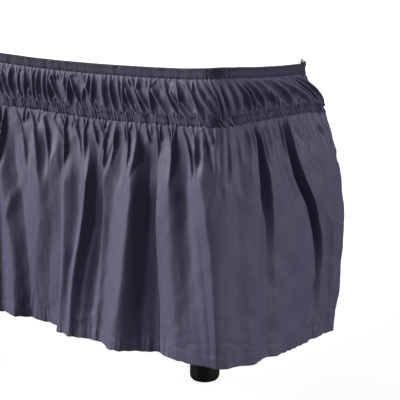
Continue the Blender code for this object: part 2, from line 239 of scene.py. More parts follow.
def sag(place):
    """From 0 where a band hangs highest to 1 where it hangs lowest."""
    down_side = place / LONG_SIDE * SAGS_ON_LONG_SIDE
    along_foot = (place - LONG_SIDE) / FOOT_END * SAGS_ON_FOOT_END
    up_side = (place - FAR_CORNER) / LONG_SIDE * SAGS_ON_LONG_SIDE
    past_side = np.where(place < LONG_SIDE + FOOT_END, along_foot, up_side)
    phase = np.where(place < LONG_SIDE, down_side, past_side)
    return np.sin(np.pi * phase) ** 2


def past_corner(place):
    """How far a place lies past a head-end corner, on the head end."""
    return np.maximum(np.maximum(-place, place - FAR_CORNER), 0.0)


def on_head_end(place, over=0.03):
    """From 0 down the long sides to 1 on the head end, changing over this length past a corner's middle."""
    return smooth(past_corner(place) / over)


def from_free_end(place, back):
    """How far a place lies from the nearer free end of a band that runs `back` onto the head end."""
    return np.minimum(place + back, FAR_CORNER + back - place)


def loose(place):
    """How far the lower band stands off the head end, towards its free end."""
    way = past_corner(place) - LOOSE_END_FROM
    return LOOSE_END_GAP * smooth(way / (LOWER_BAND_RETURN - LOOSE_END_FROM))


def band_height(place, band, highest, deepest_sag):
    """The heights of a band's top edge, from the table near a head-end corner and from even sags everywhere
    else."""
    from_corner = np.minimum(place, FAR_CORNER - place)
    heights = [getattr(row, band) for row in NEAR_CORNER]
    near = np.interp(from_corner, [row.place for row in NEAR_CORNER], heights)
    return np.where(from_corner < NEAR_CORNER[-1].place, near, highest - deepest_sag * sag(place))


def top_band_top(place):
    return band_height(place, "top_band", TOP_BAND_TOP, TOP_BAND_SAG)


def lower_band_top(place):
    return band_height(place, "lower_band", LOWER_BAND_TOP, LOWER_BAND_SAG)


def hem_height(place):
    return HEM_HEIGHT + HEM_WAVE * np.sin(2 * np.pi * place / HEM_WAVE_LENGTH)


def ripple(place, pitch, seed, waves=7, spread=0.45):
    """An uneven wave along the outline, from about -1 to 1."""
    dice = np.random.default_rng(seed)
    total = np.zeros_like(place)
    for _ in range(waves):
        length = pitch * (1 + dice.uniform(-spread, spread))
        total += np.sin(2 * np.pi * (place / length + dice.random()))
    return total / math.sqrt(waves / 2) / 1.6


# Soft uneven wrinkles: about how deep and how long they are, their slant (0 for upright ones, 1 for any
# way) and seed.
Wrinkles = namedtuple("Wrinkles", "depth size slant seed")
BROAD_WRINKLES = Wrinkles(0.0010, 0.048, 0.9, 34)
SOFT_WRINKLES = Wrinkles(0.00045, 0.034, 0.5, 31)
FINE_WRINKLES = Wrinkles(0.00022, 0.011, 1.0, 32)
HEADING_WRINKLES = Wrinkles(0.0003, 0.012, 0.6, 56)
BAND_WRINKLES = Wrinkles(1.0, 0.02, 0.3, 64)


def wrinkles(place, height, kind, waves=24):
    """What wrinkles of this kind add to the cloth at these places and heights."""
    dice = np.random.default_rng(kind.seed)
    total = np.zeros_like(place)
    for _ in range(waves):
        length = kind.size * dice.uniform(0.6, 1.8)
        turn = dice.normal(0.0, 0.35) + kind.slant * dice.uniform(-1.2, 1.2)
        across = (place * math.cos(turn) + height * math.sin(turn)) / length
        total += np.sin(2 * np.pi * (across + dice.random()))
    return kind.depth * (total / math.sqrt(waves / 2) / 1.6)


# -------------------------------------------------------------------------------- the drop's folds

# How far down the drop each column of the fold tables lies, as a fraction of its length.
FOLD_LEVELS = (0.03, 0.21, 0.43, 0.70, 1.0)

# One line down the drop. `places` and `stands` are at the FOLD_LEVELS, and `round` is 1 for a soft fold and
# 0 for a sharp one.
Fold = namedtuple("Fold", "places stands round")

# Along the head end, from the corner to the free edge, as distances from the middle of the corner. Each
# deep valley lies close behind a steep lip.
HEAD_FOLDS = (
    Fold((0.024, 0.016, 0.014, 0.014, 0.015), (0.006, 0.013, 0.018, 0.021, 0.026), 1.0),  # valley
    Fold((0.036, 0.033, 0.036, 0.033, 0.030), (0.013, 0.023, 0.027, 0.030, 0.031), 0.9),  # crest
    Fold((0.0465, 0.0425, 0.042, 0.034, 0.031), (0.014, 0.024, 0.029, 0.030, 0.031), 0.1),  # lip
    Fold((0.0545, 0.0620, 0.0655, 0.059, 0.056), (0.0035, 0.004, 0.0150, 0.0205, 0.0238), 0.4),  # valley
    Fold((0.058, 0.068, 0.073, 0.078, 0.076), (0.013, 0.024, 0.0275, 0.029, 0.030), 0.7),  # lip
    Fold((0.082, 0.088, 0.105, 0.110, 0.110), (0.014, 0.024, 0.031, 0.032, 0.031), 1.0),  # crest
    Fold((0.110, 0.113, 0.149, 0.165, 0.156), (0.014, 0.027, 0.033, 0.034, 0.031), 0.1),  # lip
    Fold((0.1220, 0.1300, 0.1625, 0.172, 0.161), (0.0030, 0.004, 0.011, 0.027, 0.0262), 0.4),  # valley
    Fold((0.127, 0.136, 0.169, 0.181, 0.178), (0.013, 0.028, 0.036, 0.036, 0.031), 0.7),  # lip
    Fold((0.160, 0.176, 0.198, 0.206, 0.200), (0.017, 0.032, 0.040, 0.038, 0.029), 1.0),  # crest
    Fold((0.2145, 0.2180, 0.228, 0.229, 0.2285), (0.021, 0.035, 0.040, 0.037, 0.030), 1.0),  # free edge
)

# Down the long side, from the crest that runs down beside the corner.
SIDE_FOLDS = (
    Fold((0.038, 0.0205, 0.0115, 0.0068, 0.0045), (0.013, 0.021, 0.027, 0.032, 0.034), 0.1),  # corner crest
    Fold((0.046, 0.0330, 0.0225, 0.0145, 0.0095), (0.009, 0.014, 0.0195, 0.0245, 0.0285), 0.6),  # shoulder
    Fold((0.056, 0.0480, 0.0390, 0.0270, 0.0160), (0.005, 0.008, 0.0135, 0.0190, 0.0250), 1.0),  # valley
    Fold((0.077, 0.072, 0.067, 0.060, 0.050), (0.013, 0.021, 0.025, 0.026, 0.028), 1.0),  # crest
    Fold((0.095, 0.094, 0.093, 0.088, 0.082), (0.010, 0.017, 0.021, 0.021, 0.022), 0.5),  # shoulder
    Fold((0.108, 0.106, 0.104, 0.098, 0.092), (0.0045, 0.0045, 0.005, 0.009, 0.016), 0.7),  # deep valley
    Fold((0.116, 0.117, 0.118, 0.118, 0.112), (0.0045, 0.006, 0.009, 0.016, 0.026), 0.3),  # shoulder
    Fold((0.134, 0.135, 0.140, 0.145, 0.155), (0.014, 0.024, 0.032, 0.041, 0.050), 1.0),  # broad crest
    Fold((0.166, 0.172, 0.181, 0.189, 0.199), (0.007, 0.0135, 0.019, 0.0235, 0.029), 1.0),  # valley
    Fold((0.2025, 0.197, 0.194, 0.199, 0.206), (0.013, 0.019, 0.022, 0.025, 0.031), 0.4),  # thin crest
    Fold((0.209, 0.205, 0.203, 0.211, 0.219), (0.006, 0.009, 0.012, 0.019, 0.029), 0.9),  # valley
    Fold((0.219, 0.217, 0.216, 0.228, 0.238), (0.006, 0.011, 0.016, 0.026, 0.035), 0.5),  # shoulder
    Fold((0.238, 0.227, 0.229, 0.243, 0.252), (0.014, 0.023, 0.030, 0.037, 0.041), 0.4),  # sharp crest
    Fold((0.256, 0.249, 0.245, 0.256, 0.267), (0.006, 0.013, 0.020, 0.030, 0.036), 1.0),  # valley
    Fold((0.278, 0.273, 0.270, 0.268, 0.281), (0.014, 0.021, 0.028, 0.035, 0.036), 0.5),  # thin crest
    Fold((0.292, 0.287, 0.285, 0.288, 0.300), (0.007, 0.013, 0.018, 0.020, 0.016), 0.6),  # valley
    Fold((0.320, 0.310, 0.300, 0.312, 0.322), (0.010, 0.018, 0.021, 0.018, 0.013), 0.2),  # flat
    Fold((0.358, 0.337, 0.322, 0.338, 0.346), (0.014, 0.023, 0.027, 0.023, 0.016), 1.0),  # crest
    Fold((0.402, 0.396, 0.372, 0.359, 0.359), (0.005, 0.007, 0.016, 0.019, 0.013), 0.6),  # valley
    Fold((0.430, 0.424, 0.402, 0.384, 0.385), (0.013, 0.021, 0.028, 0.031, 0.028), 0.7),  # crest
    Fold((0.450, 0.446, 0.435, 0.424, 0.420), (0.005, 0.008, 0.011, 0.016, 0.020), 1.0),  # valley
    Fold((0.472, 0.464, 0.452, 0.443, 0.440), (0.013, 0.019, 0.026, 0.030, 0.032), 1.0),  # crest
)

# Lowest and highest stand-off of the other folds, at the FOLD_LEVELS.
PLAIN_CREST = ((0.012, 0.014), (0.018, 0.024), (0.023, 0.033), (0.026, 0.040), (0.028, 0.046))
PLAIN_VALLEY = ((0.0045, 0.006), (0.0055, 0.010), (0.008, 0.014), (0.010, 0.020), (0.014, 0.025))
PLAIN_PITCH = 0.058
PLAIN_JITTER = 0.16
PLAIN_DRIFT = 0.11


def plain_folds(start, end):
    """Valley and crest in turn between two crests, by the same rule all the way round."""
    random.seed(11)
    count = round((end - start) / PLAIN_PITCH)
    half = (end - start) / count / 2
    folds = []
    for i in range(1, 2 * count):
        place = start + (i + random.uniform(-PLAIN_JITTER, PLAIN_JITTER) * 2) * half
        drift = random.uniform(-PLAIN_DRIFT, PLAIN_DRIFT) * 2 * half
        places = tuple(place + drift * (level - 0.5) * 2 for level in FOLD_LEVELS)
        valley = i % 2 == 1
        size = random.random()
        stands = tuple(mix(low, high, size) for low, high in (PLAIN_VALLEY if valley else PLAIN_CREST))
        folds.append(Fold(places, stands, 0.9 if valley else 0.5 + size / 2))
    return folds


def mirrored(folds):
    """The same folds at the other head-end corner."""
    return [Fold(tuple(FAR_CORNER - place for place in fold.places), *fold[1:]) for fold in reversed(folds)]


def all_folds():
    """Every line of the drop, from one free edge to the other."""
    near = [Fold(tuple(-place for place in fold.places), *fold[1:]) for fold in reversed(HEAD_FOLDS)]
    near += SIDE_FOLDS
    far = mirrored(near[: len(HEAD_FOLDS) + 1])
    return near + plain_folds(near[-1].places[2], far[0].places[2]) + far


def at_level(values, down):
    """A smooth curve through values given at the FOLD_LEVELS, one row for each line, read at a fraction of
    the drop."""
    levels = np.array(FOLD_LEVELS)
    down = min(max(down, levels[0]), levels[-1])
    above = min(int(np.searchsorted(levels, down, side="right")) - 1, len(levels) - 2)
    slopes = np.gradient(values, levels, axis=1)
    step = levels[above + 1] - levels[above]
    t = (down - levels[above]) / step
    start, end = values[:, above], values[:, above + 1]
    swing = slopes[:, above] * step, slopes[:, above + 1] * step
    return (
        start * (2 * t**3 - 3 * t**2 + 1)
        + swing[0] * (t**3 - 2 * t**2 + t)
        + end * (3 * t**2 - 2 * t**3)
        + swing[1] * (t**3 - t**2)
    )


def across_fold(start, end, start_round, end_round, way):
    """From one line to the next: flat where a line is round, straight where it is sharp."""
    rise = end - start
    lift = way * way * (3 - 2 * way)
    leave = way * (1 - way) ** 2 * (1 - start_round)
    arrive = -way * way * (1 - way) * (1 - end_round)
    return start + rise * (lift + leave + arrive)


def fold_columns(folds):
    """Where the drop's columns lie, counted in folds, closest together where the folds are listed."""
    columns = []
    for i, (a, b) in enumerate(zip(folds, folds[1:])):
        points = zip(a.places[1:], b.places[1:], a.stands[1:], b.stands[1:])
        width = max(math.hypot(q - p, t - s) for p, q, s, t in points)
        pitch = FRONT_PITCH if a.places[2] < PANEL_SEAMS[FINE_PANELS - 1] else OTHER_PITCH
        steps = max(3, math.ceil(width / pitch))
        columns += [i + k / steps for k in range(steps)]
    return np.array(columns + [len(folds) - 1.0])


# --------------------------------------------------------------------- gathers, ridges and creases

# A ridge of gathered cloth with a pocket on each side: where it lies along the outline at the start, the
# middle and the end of the gathers, its half width, the part of that way which it covers, and how high it
# stands, from 0 to 1.
Ridge = namedtuple("Ridge", "places half_width span height", defaults=((0.0, 1.0), 1.0))

# The drop's gathers, from the lower band down.
DROP_GATHERS = (
    Ridge((-0.2080, -0.2110, -0.2150), 0.0140),
    Ridge((-0.1910, -0.1980, -0.2060), 0.0150),
    Ridge((-0.1740, -0.1830, -0.1920), 0.0150, height=0.95),
    Ridge((-0.1590, -0.1680, -0.1780), 0.0150),
    Ridge((-0.1420, -0.1500, -0.1600), 0.0140),
    Ridge((-0.1270, -0.1310, -0.1370), 0.0070),
    Ridge((-0.1080, -0.1095, -0.1110), 0.0045),
    Ridge((-0.0950, -0.0960, -0.0990), 0.0120),
    Ridge((-0.0810, -0.0820, -0.0850), 0.0110),
    Ridge((-0.0700, -0.0710, -0.0760), 0.0100, (0.15, 1.0)),
    Ridge((-0.0600, -0.0620, -0.0660), 0.0060),
    Ridge((-0.0460, -0.0447, -0.0437), 0.0036),
    Ridge((-0.0370, -0.0365, -0.0360), 0.0060),
    Ridge((-0.0230, -0.0225, -0.0220), 0.0045),
    Ridge((-0.0095, -0.0100, -0.0095), 0.0042),
    Ridge((-0.0010, -0.0015, -0.0020), 0.0080, height=0.9),
    Ridge((0.0060, 0.0055, 0.0065), 0.0035),
    Ridge((0.0180, 0.0085, 0.0065), 0.0030, (0.0, 0.8)),
    Ridge((0.0260, 0.0195, 0.0185), 0.0032),
    Ridge((0.0350, 0.0325, 0.0300), 0.0025, (0.0, 0.40), 0.9),
    Ridge((0.0435, 0.0305, 0.0290), 0.0033),
    Ridge((0.0620, 0.0440, 0.0380), 0.0033),
    Ridge((0.0720, 0.0720, 0.0720), 0.0023, (0.0, 0.30), 0.9),
    Ridge((0.0790, 0.0710, 0.0700), 0.0040),
    Ridge((0.0880, 0.0725, 0.0660), 0.0028, (0.0, 0.45), 0.9),
    Ridge((0.1005, 0.0960, 0.0900), 0.0026, (0.0, 0.32), 0.9),
    Ridge((0.1090, 0.1000, 0.1060), 0.0035),
    Ridge((0.1280, 0.1165, 0.1180), 0.0044, (0.0, 0.38), 0.9),
    Ridge((0.1485, 0.1355, 0.1420), 0.0060),
    Ridge((0.1540, 0.1640, 0.1740), 0.0021, (0.0, 0.18), 0.8),
    Ridge((0.1635, 0.1545, 0.1510), 0.0030),
    Ridge((0.1690, 0.1610, 0.1560), 0.0030, (0.0, 0.40), 0.8),
    Ridge((0.1850, 0.1825, 0.1880), 0.0032),
    Ridge((0.1960, 0.2045, 0.2120), 0.0026, (0.0, 0.38), 0.9),
    Ridge((0.2050, 0.2110, 0.2170), 0.0021, (0.0, 0.20), 0.8),
    Ridge((0.2195, 0.2015, 0.1985), 0.0042),
    Ridge((0.2335, 0.2195, 0.2200), 0.0040, (0.0, 0.52), 0.9),
    Ridge((0.2410, 0.2455, 0.2500), 0.0023, (0.0, 0.25), 0.8),
    Ridge((0.2495, 0.2405, 0.2390), 0.0035),
    Ridge((0.2625, 0.2600, 0.2560), 0.0023, (0.0, 0.25), 0.8),
    Ridge((0.2720, 0.2550, 0.2460), 0.0039),
    Ridge((0.2840, 0.2880, 0.2920), 0.0025, (0.0, 0.30), 0.9),
    Ridge((0.3000, 0.2810, 0.2785), 0.0030),
    Ridge((0.3105, 0.3150, 0.3200), 0.0023, (0.0, 0.20), 0.8),
    Ridge((0.3205, 0.2920, 0.2780), 0.0032, (0.0, 0.62), 0.9),
    Ridge((0.3290, 0.3320, 0.3350), 0.0021, (0.0, 0.18), 0.8),
    Ridge((0.3370, 0.3215, 0.3125), 0.0039),
    Ridge((0.3440, 0.3490, 0.3540), 0.0025, (0.0, 0.28), 0.8),
    Ridge((0.3645, 0.3440, 0.3335), 0.0046),
    Ridge((0.3770, 0.3770, 0.3770), 0.0028, (0.0, 0.32), 0.9),
    Ridge((0.3940, 0.3850, 0.3760), 0.0070, (0.1, 1.0)),
    Ridge((0.3985, 0.3770, 0.3660), 0.0062),
    Ridge((0.4195, 0.4205, 0.4215), 0.0040),
    Ridge((0.4330, 0.4300, 0.4280), 0.0044),
)

# The heading's ridges, from its top to its bottom.
HEADING_RIDGES = (
    Ridge((-0.155, -0.188, -0.208), 0.0045),
    Ridge((-0.139, -0.170, -0.203), 0.0028, (0.0, 0.95), 0.9),
    Ridge((-0.110, -0.146, -0.179), 0.0095),
    Ridge((-0.128, -0.158, -0.188), 0.0060, (0.1, 1.0), 0.9),
    Ridge((-0.088, -0.1185, -0.1355), 0.0060),
    Ridge((-0.069, -0.091, -0.112), 0.0032, (0.45, 1.0), 0.9),
    Ridge((-0.056, -0.085, -0.101), 0.0050),
    Ridge((-0.066, -0.080, -0.097), 0.0060, (0.0, 0.5), 0.9),
    Ridge((-0.038, -0.0605, -0.078), 0.0045),
    Ridge((-0.0235, -0.0425, -0.059), 0.0036),
    Ridge((-0.0145, -0.0325, -0.0475), 0.0036),
    Ridge((-0.0085, -0.0175, -0.0225), 0.0052),
    Ridge((0.001, -0.006, -0.012), 0.0050, height=0.9),
    Ridge((0.009, 0.0015, -0.003), 0.0028),
    Ridge((0.015, 0.0065, 0.0025), 0.0026, height=0.9),
    Ridge((0.026, 0.0165, 0.0065), 0.0022, (0.45, 0.9), 0.7),
    Ridge((0.027, 0.0115, 0.0055), 0.0030),
    Ridge((0.0365, 0.022, 0.0085), 0.0034),
    Ridge((0.041, 0.0405, 0.040), 0.0026, (0.0, 0.3), 0.8),
    Ridge((0.0585, 0.036, 0.0285), 0.0034),
    Ridge((0.090, 0.065, 0.040), 0.0032, (0.6, 1.0), 0.8),
    Ridge((0.072, 0.0615, 0.0625), 0.0034, (0.0, 0.72)),
    Ridge((0.078, 0.070, 0.062), 0.0060, (0.1, 0.66), 0.45),
    Ridge((0.094, 0.0715, 0.0535), 0.0034, (0.3, 1.0)),
    Ridge((0.093, 0.080, 0.0665), 0.0030),
    Ridge((0.126, 0.1035, 0.089), 0.0038, (0.25, 1.0), 0.9),
    Ridge((0.106, 0.128, 0.150), 0.0024, (0.0, 0.2), 0.8),
    Ridge((0.1175, 0.114, 0.114), 0.0034),
    Ridge((0.129, 0.115, 0.101), 0.0026, (0.0, 0.25), 0.7),
    Ridge((0.153, 0.1335, 0.115), 0.0034, (0.33, 1.0), 0.9),
    Ridge((0.140, 0.1425, 0.145), 0.0028, (0.0, 0.35), 0.9),
    Ridge((0.1545, 0.139, 0.1315), 0.0030),
    Ridge((0.172, 0.1575, 0.146), 0.0028, (0.33, 1.0), 0.9),
    Ridge((0.187, 0.172, 0.156), 0.0026, (0.7, 1.0), 0.8),
    Ridge((0.1705, 0.1655, 0.1685), 0.0036, height=0.9),
    Ridge((0.180, 0.171, 0.169), 0.0036),
    Ridge((0.1945, 0.189, 0.184), 0.0030),
    Ridge((0.2215, 0.206, 0.190), 0.0024, (0.0, 0.2), 0.6),
    Ridge((0.211, 0.2045, 0.203), 0.0048),
    Ridge((0.2675, 0.2375, 0.2075), 0.0026, (0.72, 1.0), 0.7),
    Ridge((0.228, 0.227, 0.2295), 0.0034, height=0.95),
    Ridge((0.237, 0.2375, 0.239), 0.0028, (0.0, 0.4), 0.9),
    Ridge((0.230, 0.230, 0.230), 0.0060, (0.55, 1.0), 0.85),
    Ridge((0.254, 0.235, 0.2285), 0.0034),
    Ridge((0.233, 0.245, 0.250), 0.0028, (0.38, 1.0), 0.8),
    Ridge((0.277, 0.2635, 0.2515), 0.0028, (0.15, 1.0), 0.9),
    Ridge((0.268, 0.275, 0.284), 0.0026, (0.75, 1.0), 0.8),
    Ridge((0.269, 0.2865, 0.304), 0.0024, (0.0, 0.16), 0.8),
    Ridge((0.275, 0.2755, 0.278), 0.0030, (0.05, 1.0)),
    Ridge((0.2865, 0.283, 0.275), 0.0030, (0.0, 0.5), 0.9),
    Ridge((0.2985, 0.282, 0.276), 0.0034),
    Ridge((0.324, 0.3075, 0.2935), 0.0034, (0.28, 1.0), 0.9),
    Ridge((0.311, 0.319, 0.327), 0.0028, (0.0, 0.32), 0.9),
    Ridge((0.321, 0.317, 0.3165), 0.0034),
    Ridge((0.329, 0.328, 0.3275), 0.0038, height=0.95),
    Ridge((0.342, 0.343, 0.344), 0.0034),
    Ridge((0.349, 0.348, 0.347), 0.0050, (0.5, 0.95), 0.5),
    Ridge((0.3485, 0.364, 0.380), 0.0024, (0.0, 0.2), 0.8),
    Ridge((0.359, 0.351, 0.355), 0.0034, height=0.95),
    Ridge((0.368, 0.364, 0.360), 0.0032, (0.68, 1.0), 0.8),
    Ridge((0.374, 0.369, 0.374), 0.0034),
    Ridge((0.379, 0.376, 0.378), 0.0060, (0.15, 0.85), 0.6),
    Ridge((0.383, 0.383, 0.381), 0.0034),
    Ridge((0.394, 0.383, 0.372), 0.0026, (0.0, 0.38), 0.7),
    Ridge((0.402, 0.404, 0.397), 0.0038),
    Ridge((0.428, 0.400, 0.372), 0.0028, (0.08, 0.4), 0.8),
    Ridge((0.422, 0.418, 0.409), 0.0036),
    Ridge((0.436, 0.431, 0.424), 0.0040, height=0.9),
)

# Soft ridges and troughs pressed into the drop: where each starts, bends and ends, as (place, height)
# pairs, with its half width and height. A trough's height is below zero.
Crease = namedtuple("Crease", "start middle end half_width height")

CREASES = (
    Crease((0.358, 0.285), (0.385, 0.245), (0.398, 0.195), 0.004, 0.0026),
    Crease((0.182, 0.366), (0.188, 0.345), (0.199, 0.312), 0.003, 0.0024),
    Crease((0.007, 0.373), (0.005, 0.330), (0.001, 0.300), 0.0035, 0.0026),
    Crease((0.006, 0.298), (0.011, 0.271), (0.013, 0.236), 0.0035, 0.0020),
    Crease((-0.014, 0.349), (-0.013, 0.314), (-0.019, 0.275), 0.003, 0.0014),
    Crease((-0.014, 0.349), (-0.007, 0.311), (-0.003, 0.275), 0.003, 0.0014),
    Crease((-0.082, 0.354), (-0.104, 0.317), (-0.129, 0.254), 0.003, 0.0016),
    Crease((-0.095, 0.350), (-0.098, 0.320), (-0.108, 0.280), 0.007, -0.0024),
    Crease((-0.140, 0.341), (-0.165, 0.310), (-0.204, 0.259), 0.004, 0.0022),
    Crease((-0.152, 0.343), (-0.170, 0.311), (-0.194, 0.285), 0.004, -0.0024),
    Crease((-0.171, 0.358), (-0.177, 0.340), (-0.203, 0.305), 0.0035, 0.0018),
    Crease((-0.184, 0.367), (-0.201, 0.341), (-0.218, 0.315), 0.004, -0.0026),
    Crease((-0.194, 0.328), (-0.213, 0.315), (-0.233, 0.309), 0.003, -0.0018),
    Crease((-0.205, 0.334), (-0.218, 0.326), (-0.232, 0.322), 0.003, 0.0014),
    Crease((-0.218, 0.352), (-0.220, 0.335), (-0.226, 0.322), 0.003, -0.0014),
    Crease((-0.187, 0.239), (-0.202, 0.188), (-0.209, 0.072), 0.004, 0.0024),
    Crease((-0.184, 0.215), (-0.194, 0.150), (-0.199, 0.059), 0.005, -0.0024),
    Crease((-0.179, 0.166), (-0.168, 0.126), (-0.143, 0.070), 0.010, -0.0032),
    Crease((-0.147, 0.064), (-0.159, 0.087), (-0.171, 0.111), 0.0025, 0.0012),
    Crease((-0.094, 0.174), (-0.083, 0.148), (-0.078, 0.100), 0.004, 0.0014),
    Crease((0.205, 0.092), (0.225, 0.080), (0.245, 0.076), 0.005, 0.0010),
    Crease((0.200, 0.110), (0.222, 0.104), (0.240, 0.112), 0.006, 0.0007),
    Crease((0.362, 0.066), (0.356, 0.080), (0.350, 0.100), 0.003, 0.0018),
)


def uneven_steps(start, end, step):
    """Numbers that grow in uneven steps from start to end, and a generator for what goes with each."""
    dice = np.random.default_rng(abs(round(start * 1000)) + 7)
    places = []
    place = start
    while place < end:
        places.append(place)
        place += dice.uniform(*step)
    return places, dice


def more_gathers(start, end):
    """Gathers by the same rule over the rest of the drop: long ones, and a short one now and then."""
    places, dice = uneven_steps(start, end, (0.0085, 0.0190))
    gathers = []
    for place in places:
        lean = dice.normal(0.0, 0.006)
        bow = dice.normal(0.0, 0.002)
        lines = (place, place + lean / 2 + bow, place + lean)
        span = (0.0, 1.0) if dice.random() < 0.65 else (0.0, dice.uniform(0.2, 0.45))
        gathers.append(Ridge(lines, dice.uniform(0.0034, 0.0066), span, dice.uniform(0.85, 1.0)))
    return gathers


def heading_lean(place):
    """How far a fold of the heading moves along the outline on its way down, always towards the nearer free
    end."""
    near_lean = HEADING_LEAN * (1 - smooth((place + TOP_BAND_RETURN) / HEADING_LEAN_FADE))
    far_lean = HEADING_LEAN * (1 - smooth((FAR_CORNER + TOP_BAND_RETURN - place) / HEADING_LEAN_FADE))
    return far_lean - near_lean


def more_heading_ridges(start, end):
    """Ridges by the same rule over the rest of the heading, leaning a little either way."""
    places, dice = uneven_steps(start, end, (0.0095, 0.0225))
    ridges = []
    for place in places:
        lean = float(heading_lean(np.array(place))) + dice.normal(0.0, 0.008)
        bow = dice.normal(0.0, 0.003)
        lines = (place, place + lean / 2 + bow, place + lean)
        kind = dice.random()
        span = (0.0, 1.0) if kind < 0.7 else ((0.0, 0.45) if kind < 0.85 else (0.5, 1.0))
        ridges.append(Ridge(lines, dice.uniform(0.0034, 0.0072), span, dice.uniform(0.8, 1.0)))
    return ridges


def edge_ridges(start, end, step, upper):
    """The short ridges between the long ones where cloth is gathered into a band, which is above them if
    `upper` and else below."""
    places, dice = uneven_steps(start, end, step)
    ridges = []
    for place in places:
        lean = float(heading_lean(np.array(place))) + dice.normal(0.0, 0.014)
        reach = dice.uniform(0.08, 0.24)
        span = (0.0, reach) if upper else (1 - reach, 1.0)
        top = place if upper else place - lean
        lines = (top, top + lean / 2, top + lean)
        ridges.append(Ridge(lines, dice.uniform(0.0018, 0.0028), span, dice.uniform(0.4, 0.8)))
    return ridges


drop_gathers = (
    list(DROP_GATHERS)
    + more_gathers(HAND_SET_TO, FAR_CORNER + LOWER_BAND_RETURN)
    + edge_ridges(-LOWER_BAND_RETURN, FAR_CORNER + LOWER_BAND_RETURN, DROP_EDGE_STEP, True)
)
heading_ridges = (
    list(HEADING_RIDGES)
    + more_heading_ridges(HAND_SET_TO, FAR_CORNER + TOP_BAND_RETURN - 0.004)
    + edge_ridges(-TOP_BAND_RETURN, FAR_CORNER + TOP_BAND_RETURN, HEADING_EDGE_STEP, True)
    + edge_ridges(-LOWER_BAND_RETURN, FAR_CORNER + LOWER_BAND_RETURN, HEADING_EDGE_STEP, False)
)


def near_columns(place, middle, reach):
    """Which columns come within reach of a place."""
    lowest, highest = place.min(axis=0), place.max(axis=0)
    return np.nonzero((highest > middle - reach) & (lowest < middle + reach))[0]


def ridge_height(place, down, ridges, curve):
    """How high the ridges stand, from 0 between them to 1 on the highest. `down` is the share of the way
    down, and a higher `curve` makes the ridges steeper."""
    total = np.zeros_like(place)
    for ridge in ridges:
        top, middle, bottom = ridge.places
        centre = top + (4 * middle - 3 * top - bottom) * down + 2 * (top - 2 * middle + bottom) * down**2
        columns = near_columns(place, centre.mean(), RIDGE_FOOT * ridge.half_width + np.ptp(centre))
        if not len(columns):
            continue
        start, end = ridge.span
        way, line = (down[:, columns], centre[:, columns]) if down.shape[1] > 1 else (down, centre)
        fade = np.ones_like(way)
        if start > 0:
            fade = fade * smooth((way - start) / RIDGE_FADE + 0.5)
        if end < 1:
            fade = fade * smooth((end - way) / RIDGE_FADE + 0.5)
        off = (place[:, columns] - line) / (ridge.half_width * (0.6 + 0.4 * fade))
        cap = (1 + curve * off * off) ** -1.6 * smooth((RIDGE_FOOT - np.abs(off)) / 1.5)
        total[:, columns] = np.maximum(total[:, columns], ridge.height * cap * fade)
    return total


def crease_height(place, height, creases):
    """How high the creases stand, at these places and heights."""
    total = np.zeros_like(place)
    for crease in creases:
        nearest = np.full_like(place, 1.0)
        fade = np.zeros_like(place)
        start, middle, end = np.array(crease[:3])
        bend = 2 * middle - 0.5 * (start + end)
        for t in np.linspace(0, 1, 25):
            at = (1 - t) ** 2 * start + 2 * t * (1 - t) * bend + t * t * end
            away = np.hypot(place - at[0], height - at[1])
            closer = away < nearest
            nearest = np.where(closer, away, nearest)
            fade = np.where(closer, math.sin(math.pi * min(max(t, 0.06), 0.94)) ** 0.5, fade)
        total += crease.height * fade * np.exp(-((nearest / crease.half_width) ** 2))
    return total


# ---------------------------------------------------------------------------------- making a piece


def new_piece(name, shape, finish, maps=None):
    """Turns a bmesh into a smooth object with its finish; `maps` gives each named UV map's values, one for
    a corner."""
    mesh = bpy.data.meshes.new(name)
    shape.to_mesh(mesh)
    shape.free()
    mesh.materials.append(finish)
    if maps:
        corners = np.empty(len(mesh.loops), dtype=np.int32)
        mesh.loops.foreach_get("vertex_index", corners)
        for map_name, values in maps.items():
            layer = mesh.uv_layers.new(name=map_name)
            layer.uv.foreach_set("vector", values[corners].astype(np.float32).ravel())
    mesh.shade_smooth()
    made = bpy.data.objects.new(name, mesh)
    bpy.context.scene.collection.objects.link(made)
    return made


def stand_for(piece, node):
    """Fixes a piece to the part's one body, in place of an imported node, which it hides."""
    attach(piece, "root")
    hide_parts(node)


def cloth_grid(places, stands, heights):
    """A grid whose corner in each row and column lies at these places, stands and heights, with its faces
    outwards."""
    rows, columns = places.shape
    x, y = outline(places, stands)
    grid = bmesh.new()
    bmesh.ops.create_grid(grid, x_segments=columns - 1, y_segments=rows - 1, size=1.0)
    spots = np.empty((len(grid.verts), 2), dtype=np.int32)
    for i, corner in enumerate(grid.verts):
        column = round((corner.co.x + 1) / 2 * (columns - 1))
        row = round((1 - corner.co.y) / 2 * (rows - 1))
        corner.co = (x[row, column], y[row, column], heights[row, column])
        spots[i] = row, column
    bmesh.ops.reverse_faces(grid, faces=grid.faces)
    return grid, spots


def thicken(cloth, thickness, group=""):
    """Gives cloth its thickness on the side that faces the base."""
    wall = cloth.modifiers.new("thickness", "SOLIDIFY")
    wall.thickness = thickness
    wall.offset = -1.0
    wall.use_rim = True
    if group:
        wall.vertex_group = group
        wall.thickness_vertex_group = 0.5


# ---------------------------------------------------------------------------------------- the drop


